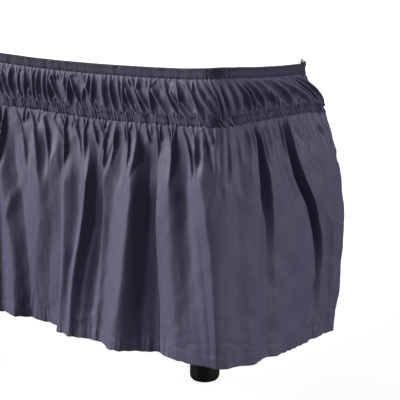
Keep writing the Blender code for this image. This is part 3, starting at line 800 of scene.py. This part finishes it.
def hanging_folds(folds, along, levels):
    """Places, stands and shares of the fall: a row for each level, and a column for each `along`, counted
    in folds."""
    line = np.minimum(along.astype(int), len(folds) - 2)
    way = along - line
    fold_places = np.array([fold.places for fold in folds])
    fold_stands = np.array([fold.stands for fold in folds])
    softness = np.array([fold.round for fold in folds])
    places, stands, downs = [], [], []
    for down in levels:
        at_lines = at_level(fold_places, down)
        off_lines = at_level(fold_stands, down)
        place = mix(at_lines[line], at_lines[line + 1], way)
        stand = across_fold(off_lines[line], off_lines[line + 1], softness[line], softness[line + 1], way)
        even = EVEN_SHARE * smooth(1 - down / EVEN_TO) * (1 - on_head_end(place))
        stand = mix(stand, GATHERED_STAND + loose(place), even)
        swells_to = mix(*DROP_SWELLS_TO, on_head_end(place))
        swell = 1 - (1 - np.minimum(down / swells_to, 1.0)) ** DROP_SWELL_POWER
        places.append(place)
        stands.append(mix(DROP_AT_BAND + loose(place), stand, swell))
        downs.append(np.full_like(place, down))
    return np.array(places), np.array(stands), np.array(downs)


def gather_at_band(place, stand, below):
    """Draws the cloth in between the gathers, less and less on the way down from the band."""
    fade = mix(SIDE_GATHERS_FADE, HEAD_GATHERS_FADE, on_head_end(place, 0.012))
    fade = fade * (1 + 0.25 * ripple(place, 0.05, 33))
    pocket = 1 - ridge_height(place, below / GATHERS_REACH, drop_gathers, GATHERS_CURVE)
    pocket *= np.clip(1 - below / fade, 0, 1) ** GATHERS_FADE_POWER
    return stand - np.maximum(stand - loose(place) - POCKET_STAND, 0.0) * pocket


def crumple(place, stand, height, below):
    """Adds the creases and wrinkles, which are broadest on the head end."""
    stand = stand + crease_height(place, height, CREASES)
    for kind in (SOFT_WRINKLES, FINE_WRINKLES):
        stand += wrinkles(place, height, kind) * smooth(below / 0.02)
    return stand + wrinkles(place, height, BROAD_WRINKLES) * on_head_end(place, 0.04) * smooth(below / 0.03)


def stitch_hem(place, stand, height, above):
    """Two layers, drawn in at the stitches, with small puckers below and just above them."""
    near_hem = smooth((HEM_DEPTH + 0.012 - above) / 0.016)
    patchy = np.clip(0.45 + 0.55 * ripple(place, 0.045, 43), 0.05, 1.0)
    stand = stand + PUCKER * ripple(place, PUCKER_PITCH, 41) * near_hem * patchy
    stand += HEM_LAYER * smooth((HEM_DEPTH - above) / 0.002)
    stand -= STITCH_DRAW * np.exp(-(((above - HEM_DEPTH) / STITCH_DRAW_WIDTH) ** 2))
    return stand, height + HEM_RIPPLE * ripple(place, HEM_RIPPLE_PITCH, 42) * smooth((0.012 - above) / 0.012)


def drop_cloth(folds, along, levels):
    """Places, stands, heights and heights above the hem, with one more row on top, tucked in behind the
    band."""
    place, stand, down = hanging_folds(folds, along, levels)
    high = lower_band_top(place) - BAND_WIDTH
    low = hem_height(place)
    height = mix(high, low, down)
    below, above = high - height, height - low
    stand = gather_at_band(place, stand, below)
    stand = crumple(place, stand, height, below)
    # A free edge turns in a little at the hem.
    turn_in = TURN_IN * smooth((down - 0.84) / 0.16) * smooth((past_corner(place) - 0.195) / 0.03)
    place += np.where(place < 0, turn_in, -turn_in)
    stand, height = stitch_hem(place, stand, height, above)
    stand = np.concatenate([(CLOSEST_STAND + loose(place))[:1], np.maximum(stand, CLOSEST_STAND)])
    height = np.concatenate([height[:1] + TUCK, height])
    above = np.concatenate([above[:1] + TUCK, above])
    place = np.concatenate([place[:1], place])
    return place, stand, height, above


def drop_levels(rows):
    """Rows of the drop: close together under the band and at the hem, with rows on each side of the
    stitches."""
    length = LOWER_BAND_TOP - BAND_WIDTH - HEM_HEIGHT
    t = np.linspace(0.0, 1.0, rows)
    even = t - 0.11 * np.sin(2 * np.pi * t)
    down = even * (length - HEM_DEPTH - 0.006)
    return np.concatenate([down, length - np.array(HEM_ROWS)]) / length


def cloth_lengths(places, stands):
    """How far along the cloth each column lies, at the middle row."""
    middle = len(places) // 2
    x, y = outline(places[middle], stands[middle])
    return np.concatenate([[0.0], np.cumsum(np.hypot(np.diff(x), np.diff(y)))])


def make_drop(finish):
    """The long gathered cloth, one panel after another, with its weave running on from each to the next."""
    folds = all_folds()
    columns = fold_columns(folds)
    start_length = 0.0
    breaks = [0] + [line_after(folds, place) for place in PANEL_SEAMS] + [len(folds) - 1]
    for i, (start, end) in enumerate(zip(breaks, breaks[1:])):
        along = columns[(columns >= start) & (columns <= end)]
        levels = drop_levels(FRONT_ROWS if i < FINE_PANELS else OTHER_ROWS)
        place, stand, height, above = drop_cloth(folds, along, levels)
        grid, spots = cloth_grid(place, stand, height)
        lengths = start_length + cloth_lengths(place, stand)
        start_length = lengths[-1]
        rows, cols = spots[:, 0], spots[:, 1]
        weave = np.stack([lengths[cols], above[rows, cols]], axis=1)
        levels = np.concatenate([levels[:1], levels])
        side = np.minimum(place - place_of_edge(folds, 0, levels), place_of_edge(folds, -1, levels) - place)
        edges = np.stack([side[rows, cols], above[rows, cols]], axis=1)
        panel = new_piece(f"drop_panel_{i + 1}", grid, finish, {"weave": weave, "edges": edges})
        hem = panel.vertex_groups.new(name="hem")
        double = np.nonzero((above[rows, cols] < HEM_DEPTH) | (side[rows, cols] < SIDE_HEM))[0]
        hem.add(double.tolist(), 1.0, "REPLACE")
        thicken(panel, 2 * CLOTH_THICKNESS, "hem")
        stand_for(panel, "drop")


def place_of_edge(folds, index, levels):
    """Where a free edge lies in each row."""
    fold_places = np.array([fold.places for fold in folds])
    return np.array([at_level(fold_places, down)[index] for down in levels])[:, None]


def line_after(folds, place):
    """The first line past a place."""
    return next(i for i, fold in enumerate(folds) if fold.places[2] > place)


# --------------------------------------------------------------------------- the heading and bands


def even_places(start, end, fine, coarse):
    """Places from start to end, with fine steps up to the end of the listed folds and coarse ones after it."""
    middle = HAND_SET_TO
    near = np.linspace(start, middle, math.ceil((middle - start) / fine), endpoint=False)
    far = np.linspace(middle, end, math.ceil((end - middle) / coarse) + 1)
    return np.concatenate([near, far])


def tucked(edge, rows):
    """The same rows with one more at each end, which goes in behind a band: by `edge` above and below."""
    return np.concatenate([rows[:1] + edge, rows, rows[-1:] - edge])


def make_heading(finish):
    """The puffed strip between the bands: thin ridges that fork and meet, with deep pockets between them."""
    tops = even_places(-TOP_BAND_RETURN, FAR_CORNER + TOP_BAND_RETURN, *HEADING_STEPS)
    down = np.linspace(0, 1, HEADING_ROWS)
    down = (down - 0.05 * np.sin(2 * np.pi * down))[:, None]
    place = tops[None, :] + heading_lean(tops)[None, :] * down
    height = mix(top_band_top(place) - BAND_WIDTH, lower_band_top(place), down)
    belly = np.sin(np.pi * down) ** 0.85
    lines = ridge_height(place, down, heading_ridges, HEADING_CURVE)
    past = on_head_end(place)
    near_end = smooth((tops + TOP_BAND_RETURN) / 0.03) * smooth((FAR_CORNER + TOP_BAND_RETURN - tops) / 0.03)
    puff = HEADING_PUFF * (1 + 0.10 * ripple(place, 0.07, 51) + HEAD_END_PUFF * past) * belly
    puff *= mix(FREE_END_PUFF, 1.0, near_end)
    crest = HEADING_AT_BAND + puff
    floor = HEADING_FLOOR + (mix(*POCKET_PUFF, past) + 0.12 * ripple(place, 0.030, 53)) * puff
    stand = mix(floor, crest, lines) + loose(place) * down
    stand += wrinkles(place, height, HEADING_WRINKLES) * belly
    stand = tucked(0.0, np.maximum(stand, CLOSEST_STAND))
    stand[0] = CLOSEST_STAND
    stand[-1] = CLOSEST_STAND + loose(place[-1])
    height = tucked(TUCK, height)
    place = tucked(0.0, place)
    grid, spots = cloth_grid(place, stand, height)
    rows, cols = spots[:, 0], spots[:, 1]
    lengths = cloth_lengths(place, stand)
    weave = np.stack([lengths[cols], (height - height[-1:])[rows, cols]], axis=1)
    heading = new_piece("heading_puff", grid, finish, {"weave": weave, "edges": np.ones_like(weave)})
    thicken(heading, CLOTH_THICKNESS)
    stand_for(heading, "heading")


# How a band is gathered: how far apart its ribs are, how high they stand, how much higher at the corners,
# how uneven they are, how far they lean, how ragged the edges are, the size of the tab at its free ends,
# how far its lower edge runs on past its upper one there, and the steps of its mesh up to HAND_SET_TO and
# after it.
BandLook = namedtuple("BandLook", "pitch rib at_corner uneven slant ragged tab flare steps")
TOP_BAND_LOOK = BandLook(
    pitch=0.0042, rib=0.0013, at_corner=0.5, uneven=0.18, slant=1.6, ragged=0.0001, tab=0.0036, flare=0.0,
    steps=(0.0006, 0.0012),
)
LOWER_BAND_LOOK = BandLook(
    pitch=0.0056, rib=0.0022, at_corner=0.2, uneven=0.40, slant=1.3, ragged=0.0010, tab=0.0, flare=0.004,
    steps=(0.0008, 0.0016),
)

# The spread of the stronger gathers at a corner, and how much more uneven they are on the head end.
CORNER_SPREAD = 0.060
HEAD_END_UNEVEN = 2.6

# The tab at a free end, as distances from the end and as shares of its size, and the length of the flare.
TAB_LENGTH = 0.0062
TAB_STEP = 0.0012
GROOVE_PLACE = 0.0078
GROOVE_WIDTH = 0.0013
TAB_LIFT = 0.30
SCALLOP = 0.60
SCALLOP_LENGTH = 0.004
FLARE_LENGTH = 0.05

# Round a band: how far down its width and how far out of its thickness, from its upper inner corner over
# its face.
BAND_SECTION = (
    (0.010, 0.0),
    (0.0, 0.55),
    (0.035, 0.86),
    (0.11, 0.98),
    (0.27, 1.0),
    (0.5, 0.95),
    (0.73, 1.0),
    (0.89, 0.98),
    (0.965, 0.86),
    (1.0, 0.55),
    (0.990, 0.0),
)


def fitted(place):
    """The top band lies on the base all the way."""
    return np.zeros_like(place)


def lean_share(place):
    """How much the gathers lean: 1 at the near free end, -1 at the far one, and 0 in the middle."""
    return -heading_lean(place) / HEADING_LEAN


def band_ribs(place, down, look):
    """How far a band's gathers lift its face."""
    from_corner = np.minimum(np.abs(place), np.abs(place - FAR_CORNER))
    at_corner = np.exp(-((from_corner / CORNER_SPREAD) ** 2))
    phase = place / look.pitch + look.uneven * ripple(place, look.pitch * 6, 61)
    slant = look.slant * (0.7 + 0.3 * lean_share(place) + 0.3 * look.at_corner * at_corner)
    phase = phase + slant * (down - 0.5)
    phase = phase + look.uneven * 0.5 * wrinkles(place, down * BAND_WIDTH, BAND_WRINKLES)
    ribs = 0.5 + 0.5 * np.sin(2 * np.pi * phase)
    patchy = np.clip(1 + look.uneven * ripple(place, look.pitch * 3, 62), 0.2, 2)
    relief = look.rib * (1 + look.at_corner * at_corner) * patchy
    relief *= 1 + HEAD_END_UNEVEN * look.uneven * on_head_end(place)
    return relief * (ribs - 0.7)


def make_band(node, reach, top, off, look, finish):
    """A gathered casing with the elastic inside: a flat tube with ribs, closed at both ends."""
    places = even_places(-reach, FAR_CORNER + reach, *look.steps)
    down, out = np.array(BAND_SECTION).T[:, :, None]
    place = np.repeat(places[None, :], len(BAND_SECTION), axis=0)
    thick = BAND_OUTER - BAND_INNER
    stand = BAND_INNER + out * (thick + band_ribs(place, down, look)) + off(place)
    upwards = np.cos(np.pi * down)
    height = top(place) - down * BAND_WIDTH
    height += upwards * look.ragged * ripple(place, look.pitch * 1.2, 63)
    # The free end: sewn over into a thick scalloped tab, with a groove beside it.
    from_end = from_free_end(place, reach)
    tab = look.tab * smooth((TAB_LENGTH - from_end) / TAB_STEP)
    groove = look.tab * np.exp(-(((from_end - GROOVE_PLACE) / GROOVE_WIDTH) ** 2))
    stand += out * (TAB_LIFT * tab - TAB_LIFT * groove)
    height += upwards * tab
    outwards = np.where(place < 0, -1.0, 1.0)
    scallop = np.abs(np.sin(3 * np.pi * down)) ** 0.7
    place = place + outwards * look.tab * SCALLOP * smooth(1 - from_end / SCALLOP_LENGTH) * scallop
    place = place + outwards * look.flare * down * smooth(1 - from_end / FLARE_LENGTH)
    grid, spots = cloth_grid(place, stand, height)
    upper, lower = (
        [edge for edge in grid.edges if all(spots[v.index][0] == row for v in edge.verts)]
        for row in (0, len(BAND_SECTION) - 1)
    )
    bmesh.ops.bridge_loops(grid, edges=upper + lower)
    bmesh.ops.holes_fill(grid, edges=[edge for edge in grid.edges if edge.is_boundary], sides=0)
    bmesh.ops.recalc_face_normals(grid, faces=grid.faces)
    lengths = cloth_lengths(places[None, :], np.full((1, len(places)), BAND_OUTER))
    weave = np.stack([lengths[spots[:, 1]], (down[:, 0] * BAND_WIDTH)[spots[:, 0]]], axis=1)
    stand_for(new_piece(node + "_casing", grid, finish, {"weave": weave}), node)


# ----------------------------------------------------------------------------- feet, pins and base


def turned(profile, sides):
    """A solid turned about Z from a profile of (radius, height) that starts and ends on the axis."""
    shape = bmesh.new()
    points = [shape.verts.new((radius, 0.0, height)) for radius, height in profile]
    edges = [shape.edges.new(pair) for pair in zip(points, points[1:])]
    around = {"axis": (0, 0, 1), "cent": (0, 0, 0), "angle": 2 * math.pi}
    bmesh.ops.spin(shape, geom=points + edges, steps=sides, use_merge=True, **around)
    bmesh.ops.remove_doubles(shape, verts=shape.verts, dist=0.00001)
    bmesh.ops.recalc_face_normals(shape, faces=shape.faces)
    return shape


# A foot's outline from its underside to its top, as radius and height.
FOOT_PROFILE = (
    (0.0105, 0.0),
    (0.0120, 0.0003),
    (0.0126, 0.0012),
    (0.0150, 0.0014),
    (0.0180, 0.0027),
    (0.0201, 0.0050),
    (0.0212, 0.0078),
    (0.0215, 0.0110),
    (0.0215, 0.0180),
    (0.0212, 0.0260),
    (0.0207, 0.0340),
    (0.0203, 0.0400),
    (0.0198, 0.0412),
    (0.0198, 0.0424),
    (0.0203, 0.0436),
    (0.0200, 0.0500),
    (0.0196, 0.0570),
    (0.0190, 0.0597),
)


def make_foot(node, finish):
    """A turned foot with a soft shoulder, a worn round at the bottom and a glide pressed into it."""
    low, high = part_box(node)
    middle = (low + high) / 2
    profile = ((0.0, 0.0004),) + FOOT_PROFILE + ((0.0, high.z),)
    foot = turned([(radius, min(height, high.z)) for radius, height in profile], 40)
    bmesh.ops.translate(foot, vec=(middle.x, middle.y, 0.0), verts=foot.verts)
    stand_for(new_piece(node + "_turned", foot, finish), node)


# A pin's head, as fractions of its radius: radius and height above the band.
PIN_PROFILE = (
    (0.0, 0.0),
    (0.72, 0.0),
    (0.94, 0.22),
    (1.0, 0.5),
    (0.97, 0.85),
    (0.84, 1.2),
    (0.62, 1.48),
    (0.34, 1.66),
    (0.12, 1.72),
    (0.0, 1.73),
)


def make_pin(node, finish):
    """The round white head of the pin that holds a free end of the top band to the base."""
    low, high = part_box(node)
    middle = (low + high) / 2
    radius = (high.x - low.x) / 2
    head = turned([(radius * r, radius * h) for r, h in PIN_PROFILE], 28)
    bmesh.ops.rotate(head, cent=(0, 0, 0), matrix=Matrix.Rotation(-math.pi / 2, 3, "X"), verts=head.verts)
    bmesh.ops.translate(head, vec=(middle.x, low.y, middle.z + PIN_LIFT), verts=head.verts)
    stand_for(new_piece(node + "_head", head, finish), node)


def make_base(finish):
    """The upholstered base: ticking pulled over a frame with rounded edges, and a dust cover underneath."""
    height = BASE_TOP - BASE_BOTTOM
    box = bmesh.new()
    bmesh.ops.create_cube(box, size=1.0)
    bmesh.ops.scale(box, vec=(BED_WIDTH, BED_LENGTH, height), verts=box.verts)
    bmesh.ops.translate(box, vec=(0, 0, BASE_BOTTOM + height / 2), verts=box.verts)
    upright = [edge for edge in box.edges if abs(edge.verts[0].co.z - edge.verts[1].co.z) > height / 2]
    rounded = {"profile": 0.5, "affect": "EDGES", "material": -1}
    bmesh.ops.bevel(box, geom=upright, offset=CORNER_RADIUS, segments=16, **rounded)
    rims = [edge for edge in box.edges if edge.calc_face_angle() > math.radians(60)]
    bmesh.ops.bevel(box, geom=rims, offset=RIM_RADIUS, segments=6, **rounded)
    under = min(box.faces, key=lambda face: face.calc_center_median().z)
    bmesh.ops.inset_region(box, faces=[under], thickness=0.03, depth=0.0)
    bmesh.ops.inset_region(box, faces=[under], thickness=0.002, depth=-0.0012)
    stand_for(new_piece("base_upholstery", box, finish), "bed_base")


def make_piping(finish):
    """The covered cord sewn round the base's upper edge."""
    places = np.linspace(-QUARTER / 2, 2 * (LONG_SIDE + FOOT_END) - QUARTER / 2, PIPING_STEPS + 1)
    turn = np.linspace(0, 2 * np.pi, PIPING_SIDES + 1)[:, None]
    place = np.repeat(places[None, :], PIPING_SIDES + 1, axis=0)
    stand = PIPING_STAND + PIPING_RADIUS * np.sin(turn) + np.zeros_like(place)
    height = BASE_TOP - PIPING_DROP + PIPING_RADIUS * np.cos(turn) + np.zeros_like(place)
    grid, _ = cloth_grid(place, stand, height)
    bmesh.ops.remove_doubles(grid, verts=grid.verts, dist=0.00002)
    bmesh.ops.recalc_face_normals(grid, faces=grid.faces)
    piping = new_piece("base_piping", grid, finish)
    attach(piping, "root")


# --------------------------------------------------------------------------------------- materials

# Linear colours, the threads in a metre of cloth, and the stitches: how long, how wide, and how far from a
# band's edge.
CLOTH_COLOUR = (0.088, 0.079, 0.139)
# The band colours are the cloth's colour darkened, the top band's the most: painted shade for the shade among
# their tight gathers.
TOP_BAND_SHADED_COLOUR = (0.051, 0.047, 0.081)
LOWER_BAND_SHADED_COLOUR = (0.070, 0.064, 0.111)
SHEEN_TINT = (0.62, 0.58, 0.85, 1.0)
WHITE = (1.0, 1.0, 1.0, 1.0)
TICKING_LOW = (0.90, 0.897, 0.89, 1)
TICKING_HIGH = (0.94, 0.938, 0.932, 1)
TICKING_WORN = (0.89, 0.885, 0.87, 1)
WOOD_DARK = (0.0022, 0.0016, 0.0016, 1)
WOOD_LIGHT = (0.0075, 0.0048, 0.0044, 1)
WOOD_PORES = (0.0010, 0.0008, 0.0008, 1)
PIN_CLEAN = (0.86, 0.86, 0.85, 1)
PIN_SCUFFED = (0.78, 0.78, 0.77, 1)
CLOTH_THREADS = (1700, 1500)
BAND_THREADS = (2100, 1500)
HEM_STITCH = (0.0032, 0.0005)
BAND_STITCH = (0.0029, 0.00045)
BAND_STITCH_FROM_EDGE = 0.0030
HERRINGBONE = 0.006
TICKING_RIB = 0.0024
# Painted light: how strongly the ticking glows.
TICKING_PAINTED_GLOW = 0.60
FLOOR_GLOW = 0.93


class Nodes:
    """A material's nodes, made and linked in short lines."""

    def __init__(self, name):
        self.material = bpy.data.materials.new(name)
        self.material.use_nodes = True
        self.tree = self.material.node_tree
        self.shader = self.tree.nodes["Principled BSDF"]

    def surface(self, **inputs):
        for key, value in inputs.items():
            self.put(self.shader.inputs[key.replace("_", " ")], value)

    def add(self, kind, settings=None, **inputs):
        node = self.tree.nodes.new(kind)
        for key, value in (settings or {}).items():
            setattr(node, key, value)
        for key, value in inputs.items():
            self.put(node.inputs[key.replace("_", " ")], value)
        return node

    def put(self, socket, value):
        if isinstance(value, bpy.types.NodeSocket):
            self.tree.links.new(value, socket)
        else:
            socket.default_value = value

    def math(self, operation, a, b=0.0, c=0.0):
        node = self.tree.nodes.new("ShaderNodeMath")
        node.operation = operation
        for socket, value in zip(node.inputs, (a, b, c)):
            self.put(socket, value)
        return node.outputs[0]

    def blend(self, factor, a, b):
        node = self.tree.nodes.new("ShaderNodeMix")
        node.data_type = "RGBA"
        self.put(node.inputs["Factor"], factor)
        self.put(node.inputs["A"], a)
        self.put(node.inputs["B"], b)
        return node.outputs["Result"]

    def object_place(self):
        return self.add("ShaderNodeTexCoord").outputs["Object"]

    def uv(self, name):
        return self.add("ShaderNodeUVMap", {"uv_map": name}).outputs[0]

    def scaled(self, vector, scale):
        return self.add("ShaderNodeMapping", None, Vector=vector, Scale=scale).outputs[0]

    def noise(self, vector, scale, detail=2.0, roughness=0.5):
        look = {"Scale": scale, "Detail": detail, "Roughness": roughness}
        return self.add("ShaderNodeTexNoise", None, Vector=vector, **look).outputs["Fac"]

    def bump(self, height, distance, strength=1.0, normal=None):
        node = self.add("ShaderNodeBump", None, Height=height, Distance=distance, Strength=strength)
        if normal:
            self.put(node.inputs["Normal"], normal)
        return node.outputs[0]

    def range(self, value, low, high, to_low, to_high):
        node = self.add("ShaderNodeMapRange", {"clamp": True})
        for socket, number in zip(node.inputs, (value, low, high, to_low, to_high)):
            self.put(socket, number)
        return node.outputs[0]


def shade(colour, factor):
    return (*[channel * factor for channel in colour], 1.0)


def woven(nodes, vector, across, down):
    """A plain weave from -1 to 1, with this many threads a metre each way."""
    split = nodes.add("ShaderNodeSeparateXYZ", None, Vector=vector)
    warp = nodes.math("SINE", nodes.math("MULTIPLY", split.outputs["X"], across * 2 * math.pi))
    weft = nodes.math("SINE", nodes.math("MULTIPLY", split.outputs["Y"], down * 2 * math.pi))
    return nodes.math("MULTIPLY", warp, weft), split


def stitches(nodes, distance, along, line, pitch, width):
    """1 on the thread of a row of stitches that lies `line` from an edge, and 0 elsewhere."""
    away = nodes.math("ABSOLUTE", nodes.math("SUBTRACT", distance, line))
    row = nodes.range(away, width * 0.5, width, 1.0, 0.0)
    beat = nodes.math("SINE", nodes.math("MULTIPLY", along, 2 * math.pi / pitch))
    dash = nodes.range(beat, -0.55, -0.2, 0.0, 1.0)
    return nodes.math("MULTIPLY", row, dash)


def microfibre():
    """Brushed microfibre: a fine weave, a soft nap, faint crumples, and the stitches of the hems."""
    nodes = Nodes("microfibre")
    weave_map = nodes.uv("weave")
    weave, split = woven(nodes, weave_map, *CLOTH_THREADS)
    edges = nodes.add("ShaderNodeSeparateXYZ", None, Vector=nodes.uv("edges"))
    nap = nodes.noise(nodes.scaled(weave_map, (900, 260, 1)), 1.0, 3.0, 0.6)
    cloud = nodes.noise(nodes.scaled(weave_map, (22, 9, 1)), 1.0, 3.0, 0.55)
    crumples = nodes.noise(nodes.scaled(weave_map, (95, 38, 1)), 1.0, 4.0, 0.55)
    tone = nodes.range(cloud, 0.3, 0.7, 0.0, 1.0)
    colour = nodes.blend(tone, shade(CLOTH_COLOUR, 0.93), shade(CLOTH_COLOUR, 1.07))
    fleck = nodes.range(nap, 0.32, 0.68, 0.0, 1.0)
    colour = nodes.blend(fleck, nodes.blend(0.08, colour, (0, 0, 0, 1)), colour)
    colour = nodes.blend(nodes.range(weave, -1, 1, 0.0, 0.10), colour, shade(CLOTH_COLOUR, 1.5))
    hem_thread = stitches(nodes, edges.outputs["Y"], split.outputs["X"], HEM_DEPTH, *HEM_STITCH)
    side_thread = stitches(nodes, edges.outputs["X"], split.outputs["Y"], SIDE_HEM, *HEM_STITCH)
    thread = nodes.math("MAXIMUM", hem_thread, side_thread)
    bump = nodes.bump(crumples, 0.0006, 0.55)
    bump = nodes.bump(nap, 0.00010, 0.5, bump)
    bump = nodes.bump(weave, 0.00004, 0.5, bump)
    nodes.surface(
        Base_Color=nodes.blend(thread, colour, shade(CLOTH_COLOUR, 1.12)),
        Roughness=nodes.range(crumples, 0.3, 0.7, 0.50, 0.62),
        Normal=nodes.bump(thread, 0.0003, 0.5, bump),
        Specular_IOR_Level=0.35,
        Sheen_Weight=0.35,
        Sheen_Roughness=0.35,
        Sheen_Tint=SHEEN_TINT,
    )
    return nodes.material


def elastic(name, base):
    """A band's gathered casing: the same microfibre drawn up small, with two rows of stitches."""
    nodes = Nodes(name)
    weave_map = nodes.uv("weave")
    weave, split = woven(nodes, weave_map, *BAND_THREADS)
    nap = nodes.noise(nodes.scaled(weave_map, (1300, 300, 1)), 1.0, 3.0, 0.6)
    tuck = nodes.noise(nodes.scaled(weave_map, (620, 90, 1)), 1.0, 2.0, 0.5)
    # Painted shade: the casing's colour is darker in the low parts of its tucks and lighter on their raised
    # parts, following the same noise as its bump.
    tone = nodes.range(tuck, 0.35, 0.65, 0.0, 1.0)
    colour = nodes.blend(tone, shade(base, 0.80), shade(base, 1.12))
    colour = nodes.blend(nodes.range(weave, -1, 1, 0.0, 0.08), colour, shade(base, 1.5))
    upper, lower = (
        stitches(nodes, split.outputs["Y"], split.outputs["X"], line, *BAND_STITCH)
        for line in (BAND_STITCH_FROM_EDGE, BAND_WIDTH - BAND_STITCH_FROM_EDGE)
    )
    thread = nodes.math("MAXIMUM", upper, lower)
    bump = nodes.bump(tuck, 0.0005, 0.6)
    bump = nodes.bump(nap, 0.00012, 0.5, bump)
    nodes.surface(
        Base_Color=nodes.blend(thread, colour, shade(base, 1.15)),
        Roughness=nodes.range(nap, 0.3, 0.7, 0.55, 0.68),
        Normal=nodes.bump(thread, 0.0004, 0.7, bump),
        Specular_IOR_Level=0.25,
        Sheen_Weight=0.18,
        Sheen_Roughness=0.4,
        Sheen_Tint=SHEEN_TINT,
    )
    return nodes.material


def ticking():
    """White herringbone ticking over a firm frame, with painted light: it glows a little, so that its shading
    fades to white.
    """
    nodes = Nodes("ticking")
    place = nodes.object_place()
    split = nodes.add("ShaderNodeSeparateXYZ", None, Vector=place)
    along = nodes.math("ADD", split.outputs["X"], split.outputs["Y"])
    back = nodes.math("SUBTRACT", split.outputs["X"], split.outputs["Y"])
    across = nodes.math("ADD", split.outputs["Z"], back)
    zigzag = nodes.math("ADD", nodes.math("PINGPONG", along, HERRINGBONE), across)
    rib = nodes.math("SINE", nodes.math("MULTIPLY", zigzag, 2 * math.pi / TICKING_RIB))
    nap = nodes.noise(place, 900.0, 2.0)
    soft = nodes.noise(place, 7.0, 3.0)
    colour = nodes.blend(nodes.range(rib, -1, 1, 0, 1), TICKING_LOW, TICKING_HIGH)
    nodes.surface(
        Base_Color=nodes.blend(nodes.range(soft, 0.35, 0.65, 0.0, 0.25), colour, TICKING_WORN),
        Roughness=nodes.range(nap, 0.3, 0.7, 0.75, 0.9),
        Normal=nodes.bump(nap, 0.0001, 0.4, nodes.bump(rib, 0.0002, 0.4)),
        # Painted light: the ticking glows, though it is no lamp, to wash its shade out to white.
        Emission_Color=WHITE,
        Emission_Strength=TICKING_PAINTED_GLOW,
    )
    return nodes.material


def foot_wood():
    """Dark stained wood with a fine grain running up the foot and a satin lacquer."""
    nodes = Nodes("foot_wood")
    place = nodes.object_place()
    grain = nodes.noise(nodes.scaled(place, (260, 260, 22)), 1.0, 5.0, 0.6)
    pores = nodes.noise(nodes.scaled(place, (1400, 1400, 90)), 1.0, 2.0, 0.5)
    colour = nodes.blend(nodes.range(grain, 0.35, 0.65, 0, 1), WOOD_DARK, WOOD_LIGHT)
    nodes.surface(
        Base_Color=nodes.blend(nodes.range(pores, 0.55, 0.72, 0, 0.7), colour, WOOD_PORES),
        Roughness=nodes.range(grain, 0.3, 0.7, 0.42, 0.58),
        Normal=nodes.bump(pores, 0.0002, 0.35),
        Specular_IOR_Level=0.3,
    )
    return nodes.material


def pin_white():
    """Glossy white plastic, faintly scuffed."""
    nodes = Nodes("pin_white")
    scuff = nodes.noise(nodes.object_place(), 1800.0, 3.0)
    nodes.surface(
        Base_Color=nodes.blend(nodes.range(scuff, 0.4, 0.7, 0, 1), PIN_CLEAN, PIN_SCUFFED),
        Roughness=nodes.range(scuff, 0.35, 0.7, 0.18, 0.32),
    )
    return nodes.material


# --------------------------------------------------------------------------------- floor and light

FLOOR_HALF = 60.0
SKY_COLOUR = (0.92, 0.94, 1.0, 1.0)
SKY_STRENGTH = 0.130


def add_floor():
    """A wide pale floor that lights up a little by itself, so that the cloth's shadow on it stays faint."""
    shape = bmesh.new()
    bmesh.ops.create_grid(shape, x_segments=2, y_segments=2, size=FLOOR_HALF)
    mesh = bpy.data.meshes.new("floor")
    shape.to_mesh(mesh)
    shape.free()
    nodes = Nodes("floor")
    nodes.surface(
        Base_Color=(0.10, 0.10, 0.10, 1.0),
        Roughness=0.9,
        Specular_IOR_Level=0.0,
        Emission_Color=WHITE,
        Emission_Strength=FLOOR_GLOW,
    )
    mesh.materials.append(nodes.material)
    floor = bpy.data.objects.new("floor", mesh)
    bpy.context.scene.collection.objects.link(floor)
    floor.visible_diffuse = False
    floor.visible_glossy = False


def add_sun(name, turn, rise, strength, softness):
    """A soft light from far off: `turn` is its bearing from +X towards +Y, `rise` its height and `softness`
    the angle that it fills, in degrees."""
    light = bpy.data.lights.new(name, "SUN")
    light.energy = strength
    light.angle = math.radians(softness)
    lamp = bpy.data.objects.new(name, light)
    lamp.rotation_euler = (0.0, math.radians(90 - rise), math.radians(turn))
    bpy.context.scene.collection.objects.link(lamp)


def add_world():
    """Bright where the camera looks past the floor, and low as a light on the cloth."""
    world = bpy.data.worlds.new("studio")
    bpy.context.scene.world = world
    world.use_nodes = True
    tree = world.node_tree
    tree.nodes.clear()
    seen = tree.nodes.new("ShaderNodeBackground")
    seen.inputs["Color"].default_value = WHITE
    low = tree.nodes.new("ShaderNodeBackground")
    low.inputs["Color"].default_value = SKY_COLOUR
    low.inputs["Strength"].default_value = SKY_STRENGTH
    path = tree.nodes.new("ShaderNodeLightPath")
    choose = tree.nodes.new("ShaderNodeMixShader")
    out = tree.nodes.new("ShaderNodeOutputWorld")
    tree.links.new(path.outputs["Is Camera Ray"], choose.inputs[0])
    tree.links.new(low.outputs[0], choose.inputs[1])
    tree.links.new(seen.outputs[0], choose.inputs[2])
    tree.links.new(choose.outputs[0], out.inputs["Surface"])


# ---------------------------------------------------------------------------------------- assembly

bpy.context.scene.view_settings.view_transform = "Standard"

add_world()
add_floor()
add_sun("key", -53, 21, 4.0, 30)
add_sun("side", 104, 18, 1.92, 26)
add_sun("back", 215, 35, 2.2, 30)

cloth = microfibre()
cover = ticking()
wood = foot_wood()
white = pin_white()
top_casing = elastic("top_casing", TOP_BAND_SHADED_COLOUR)
lower_casing = elastic("lower_casing", LOWER_BAND_SHADED_COLOUR)

for node in [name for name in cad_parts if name.startswith("foot_")]:
    make_foot(node, wood)
make_pin("head_end_pin_right", white)
make_pin("head_end_pin_left", white)
make_base(cover)
make_piping(cover)
make_band("top_band", TOP_BAND_RETURN, top_band_top, fitted, TOP_BAND_LOOK, top_casing)
make_band("lower_band", LOWER_BAND_RETURN, lower_band_top, loose, LOWER_BAND_LOOK, lower_casing)
make_heading(cloth)
make_drop(cloth)
